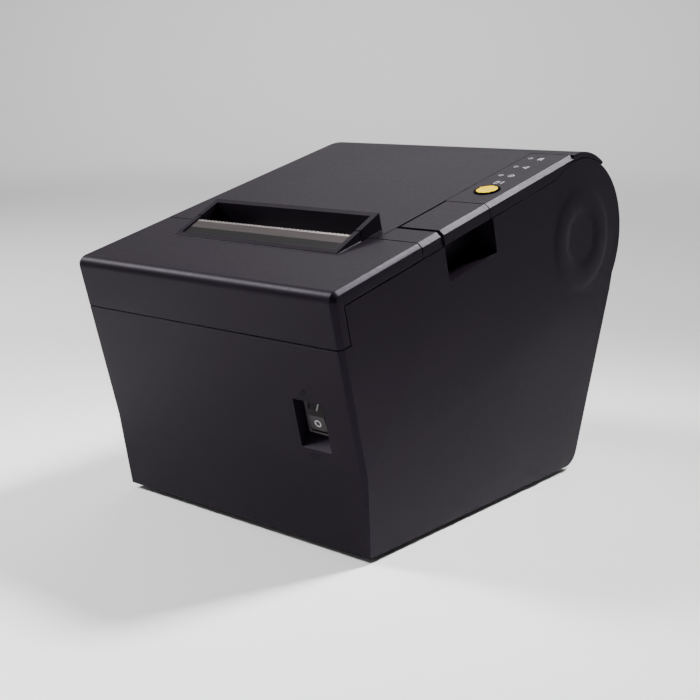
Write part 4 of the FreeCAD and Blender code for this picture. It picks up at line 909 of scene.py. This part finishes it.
@dataclass
class BoardParts:
    """Chips and capacitors on the main board."""

    top: float = 11.1
    chips: tuple[tuple[float, ...], ...] = ((-30.0, 8.0, -18.0, 20.0, 1.4), (14.0, 26.0, 24.0, 34.0, 1.8),
                                            (-28.0, 30.0, -22.0, 40.0, 1.4), (-6.0, 30.0, 6.0, 38.0, 2.2))
    cans: tuple[tuple[float, float], ...] = ((-32.0, -8.0), (-32.0, 0.0), (31.0, 8.0))

    def build(self) -> None:
        """Makes the small parts on the board."""
        chips = bmesh.new()
        for left, front, right, rear, height in self.chips:
            bevelled_block(chips, (left, front, self.top), (right, rear, self.top + height), 0.25)
        cans = bmesh.new()
        for across, along in self.cans:
            rounded_rod(cans, Matrix.Translation((across, along, self.top)), 2.6, 5.2, 0.4)
        for name, mesh, look in (("board_chips", chips, CHIP), ("board_capacitors", cans, Slot.sink)):
            bmesh.ops.scale(mesh, vec=(MM, MM, MM), verts=mesh.verts)
            add_piece(name, mesh, look, "housing")


@dataclass(frozen=True)
class Softbox:
    """One square soft light: its place, its target, the length of its sides, its watts and its beam in degrees."""

    name: str
    place: tuple[float, float, float]
    target: tuple[float, float, float]
    side: float
    watts: float
    spread: float

    def hang(self) -> None:
        """Hangs the light and points it at its target."""
        lamp = bpy.data.lights.new(self.name, "AREA")
        lamp.size = self.side
        lamp.energy = self.watts
        lamp.spread = math.radians(self.spread)
        holder = bpy.data.objects.new(self.name, lamp)
        holder.location = self.place
        aim = Vector(self.target) - Vector(self.place)
        holder.rotation_euler = aim.to_track_quat("-Z", "Y").to_euler()
        bpy.context.scene.collection.objects.link(holder)


@dataclass
class Studio:
    """Floor, lights and the camera at the photograph's place."""

    eye: tuple[float, float, float] = (0.3293, -0.3935, 0.1708)
    azimuth: float = 40.545
    pitch: float = 12.423
    lens: float = 61.96
    sensor: float = 36.0
    clip: tuple[float, float] = (0.01, 50.0)
    floor_radius: float = 2.2
    dish_radius: float = 4.0
    dish_height: float = 0.7
    floor_drop: float = 0.0002
    sweep_steps: int = 10
    floor_sides: int = 96
    bright_side: tuple[float, float, float] = (-0.95, -0.1, 0.3)
    surround: tuple[float, float] = (0.02, 0.4)
    lamps: tuple[Softbox, ...] = (
        Softbox("rear_softbox", (0.32, 0.72, 1.05), (0.05, 0.0, 0.12), 0.3, 1.35, 28.0),
        Softbox("left_softbox", (-0.95, -0.5, 1.05), (0.0, -0.03, 0.09), 0.45, 14.0, 120.0),
        Softbox("backdrop_softbox", (-1.6, 1.9, 2.2), (-2.0, 2.4, 0.0), 1.6, 42.0, 170.0))

    def build(self) -> None:
        """Sets up the studio."""
        self._floor()
        self._world()
        for lamp in self.lamps:
            lamp.hang()
        self._camera()

    def _floor(self) -> None:
        """A wide pale floor just below the feet, whose rim sweeps up into a low backdrop."""
        mesh = bmesh.new()
        points = [Vector((radius, 0.0, -self.floor_drop)) for radius in (0.0, self.floor_radius)]
        for step in range(1, self.sweep_steps + 1):
            share = step / self.sweep_steps
            points.append(Vector((self.floor_radius + (self.dish_radius - self.floor_radius) * share, 0.0,
                                  self.dish_height * share * share)))
        verts = [mesh.verts.new(point) for point in points]
        edges = [mesh.edges.new(pair) for pair in zip(verts, verts[1:])]
        bmesh.ops.spin(mesh, geom=verts + edges, cent=(0.0, 0.0, 0.0), axis=(0.0, 0.0, 1.0), angle=math.tau,
                       steps=self.floor_sides, use_merge=True)
        bmesh.ops.remove_doubles(mesh, verts=mesh.verts, dist=0.0001)
        bmesh.ops.recalc_face_normals(mesh, faces=mesh.faces)
        data = bpy.data.meshes.new("studio_floor_sheet")
        mesh.to_mesh(data)
        mesh.free()
        data.shade_smooth()
        data.materials.append(material_of(FLOOR))
        floor = bpy.data.objects.new("studio_floor_sheet", data)
        bpy.context.scene.collection.objects.link(floor)

    def _world(self) -> None:
        """Surroundings that are bright on the left in front and darker on the right behind."""
        world = bpy.data.worlds.new("studio_surround")
        world.use_nodes = True
        graph = Graph(world.node_tree)
        place = graph.add("ShaderNodeTexCoord", out="Generated")
        facing = graph.add("ShaderNodeVectorMath", {"operation": "DOT_PRODUCT"},
                           {0: place, 1: tuple(Vector(self.bright_side).normalized())}, "Value")
        dark, bright = self.surround
        strength = graph.add("ShaderNodeMapRange", {"interpolation_type": "SMOOTHSTEP"},
                             {"Value": facing, "From Min": -1.0, "From Max": 1.0, "To Min": dark, "To Max": bright},
                             "Result")
        sky = graph.nodes["Background"].inputs
        graph.feed(sky["Color"], (1.0, 0.99, 1.0))
        graph.feed(sky["Strength"], strength)
        bpy.context.scene.world = world

    def _camera(self) -> None:
        """The camera, placed by the photograph's perspective."""
        data = bpy.data.cameras.new("photo_camera")
        data.lens = self.lens
        data.sensor_width = self.sensor
        data.sensor_fit = "HORIZONTAL"
        data.clip_start, data.clip_end = self.clip
        camera = bpy.data.objects.new("photo_camera", data)
        camera.location = self.eye
        camera.rotation_euler = (math.radians(90.0 - self.pitch), 0.0, math.radians(self.azimuth))
        bpy.context.scene.collection.objects.link(camera)
        bpy.context.scene.camera = camera


def main() -> None:
    """Dresses the printer, adds its details and sets up the studio."""
    logging.basicConfig(level=logging.INFO, format="%(message)s")
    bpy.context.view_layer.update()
    shells = CaseShells()
    shells.dress(frame["nodes"], frame["record"]["subparts"])
    shells.soften(frame["nodes"])
    for assembly in (PanelMarks(), SwitchMarks(), RearSockets(), BoardParts(), Studio()):
        assembly.build()


if __name__ == "__main__":
    main()
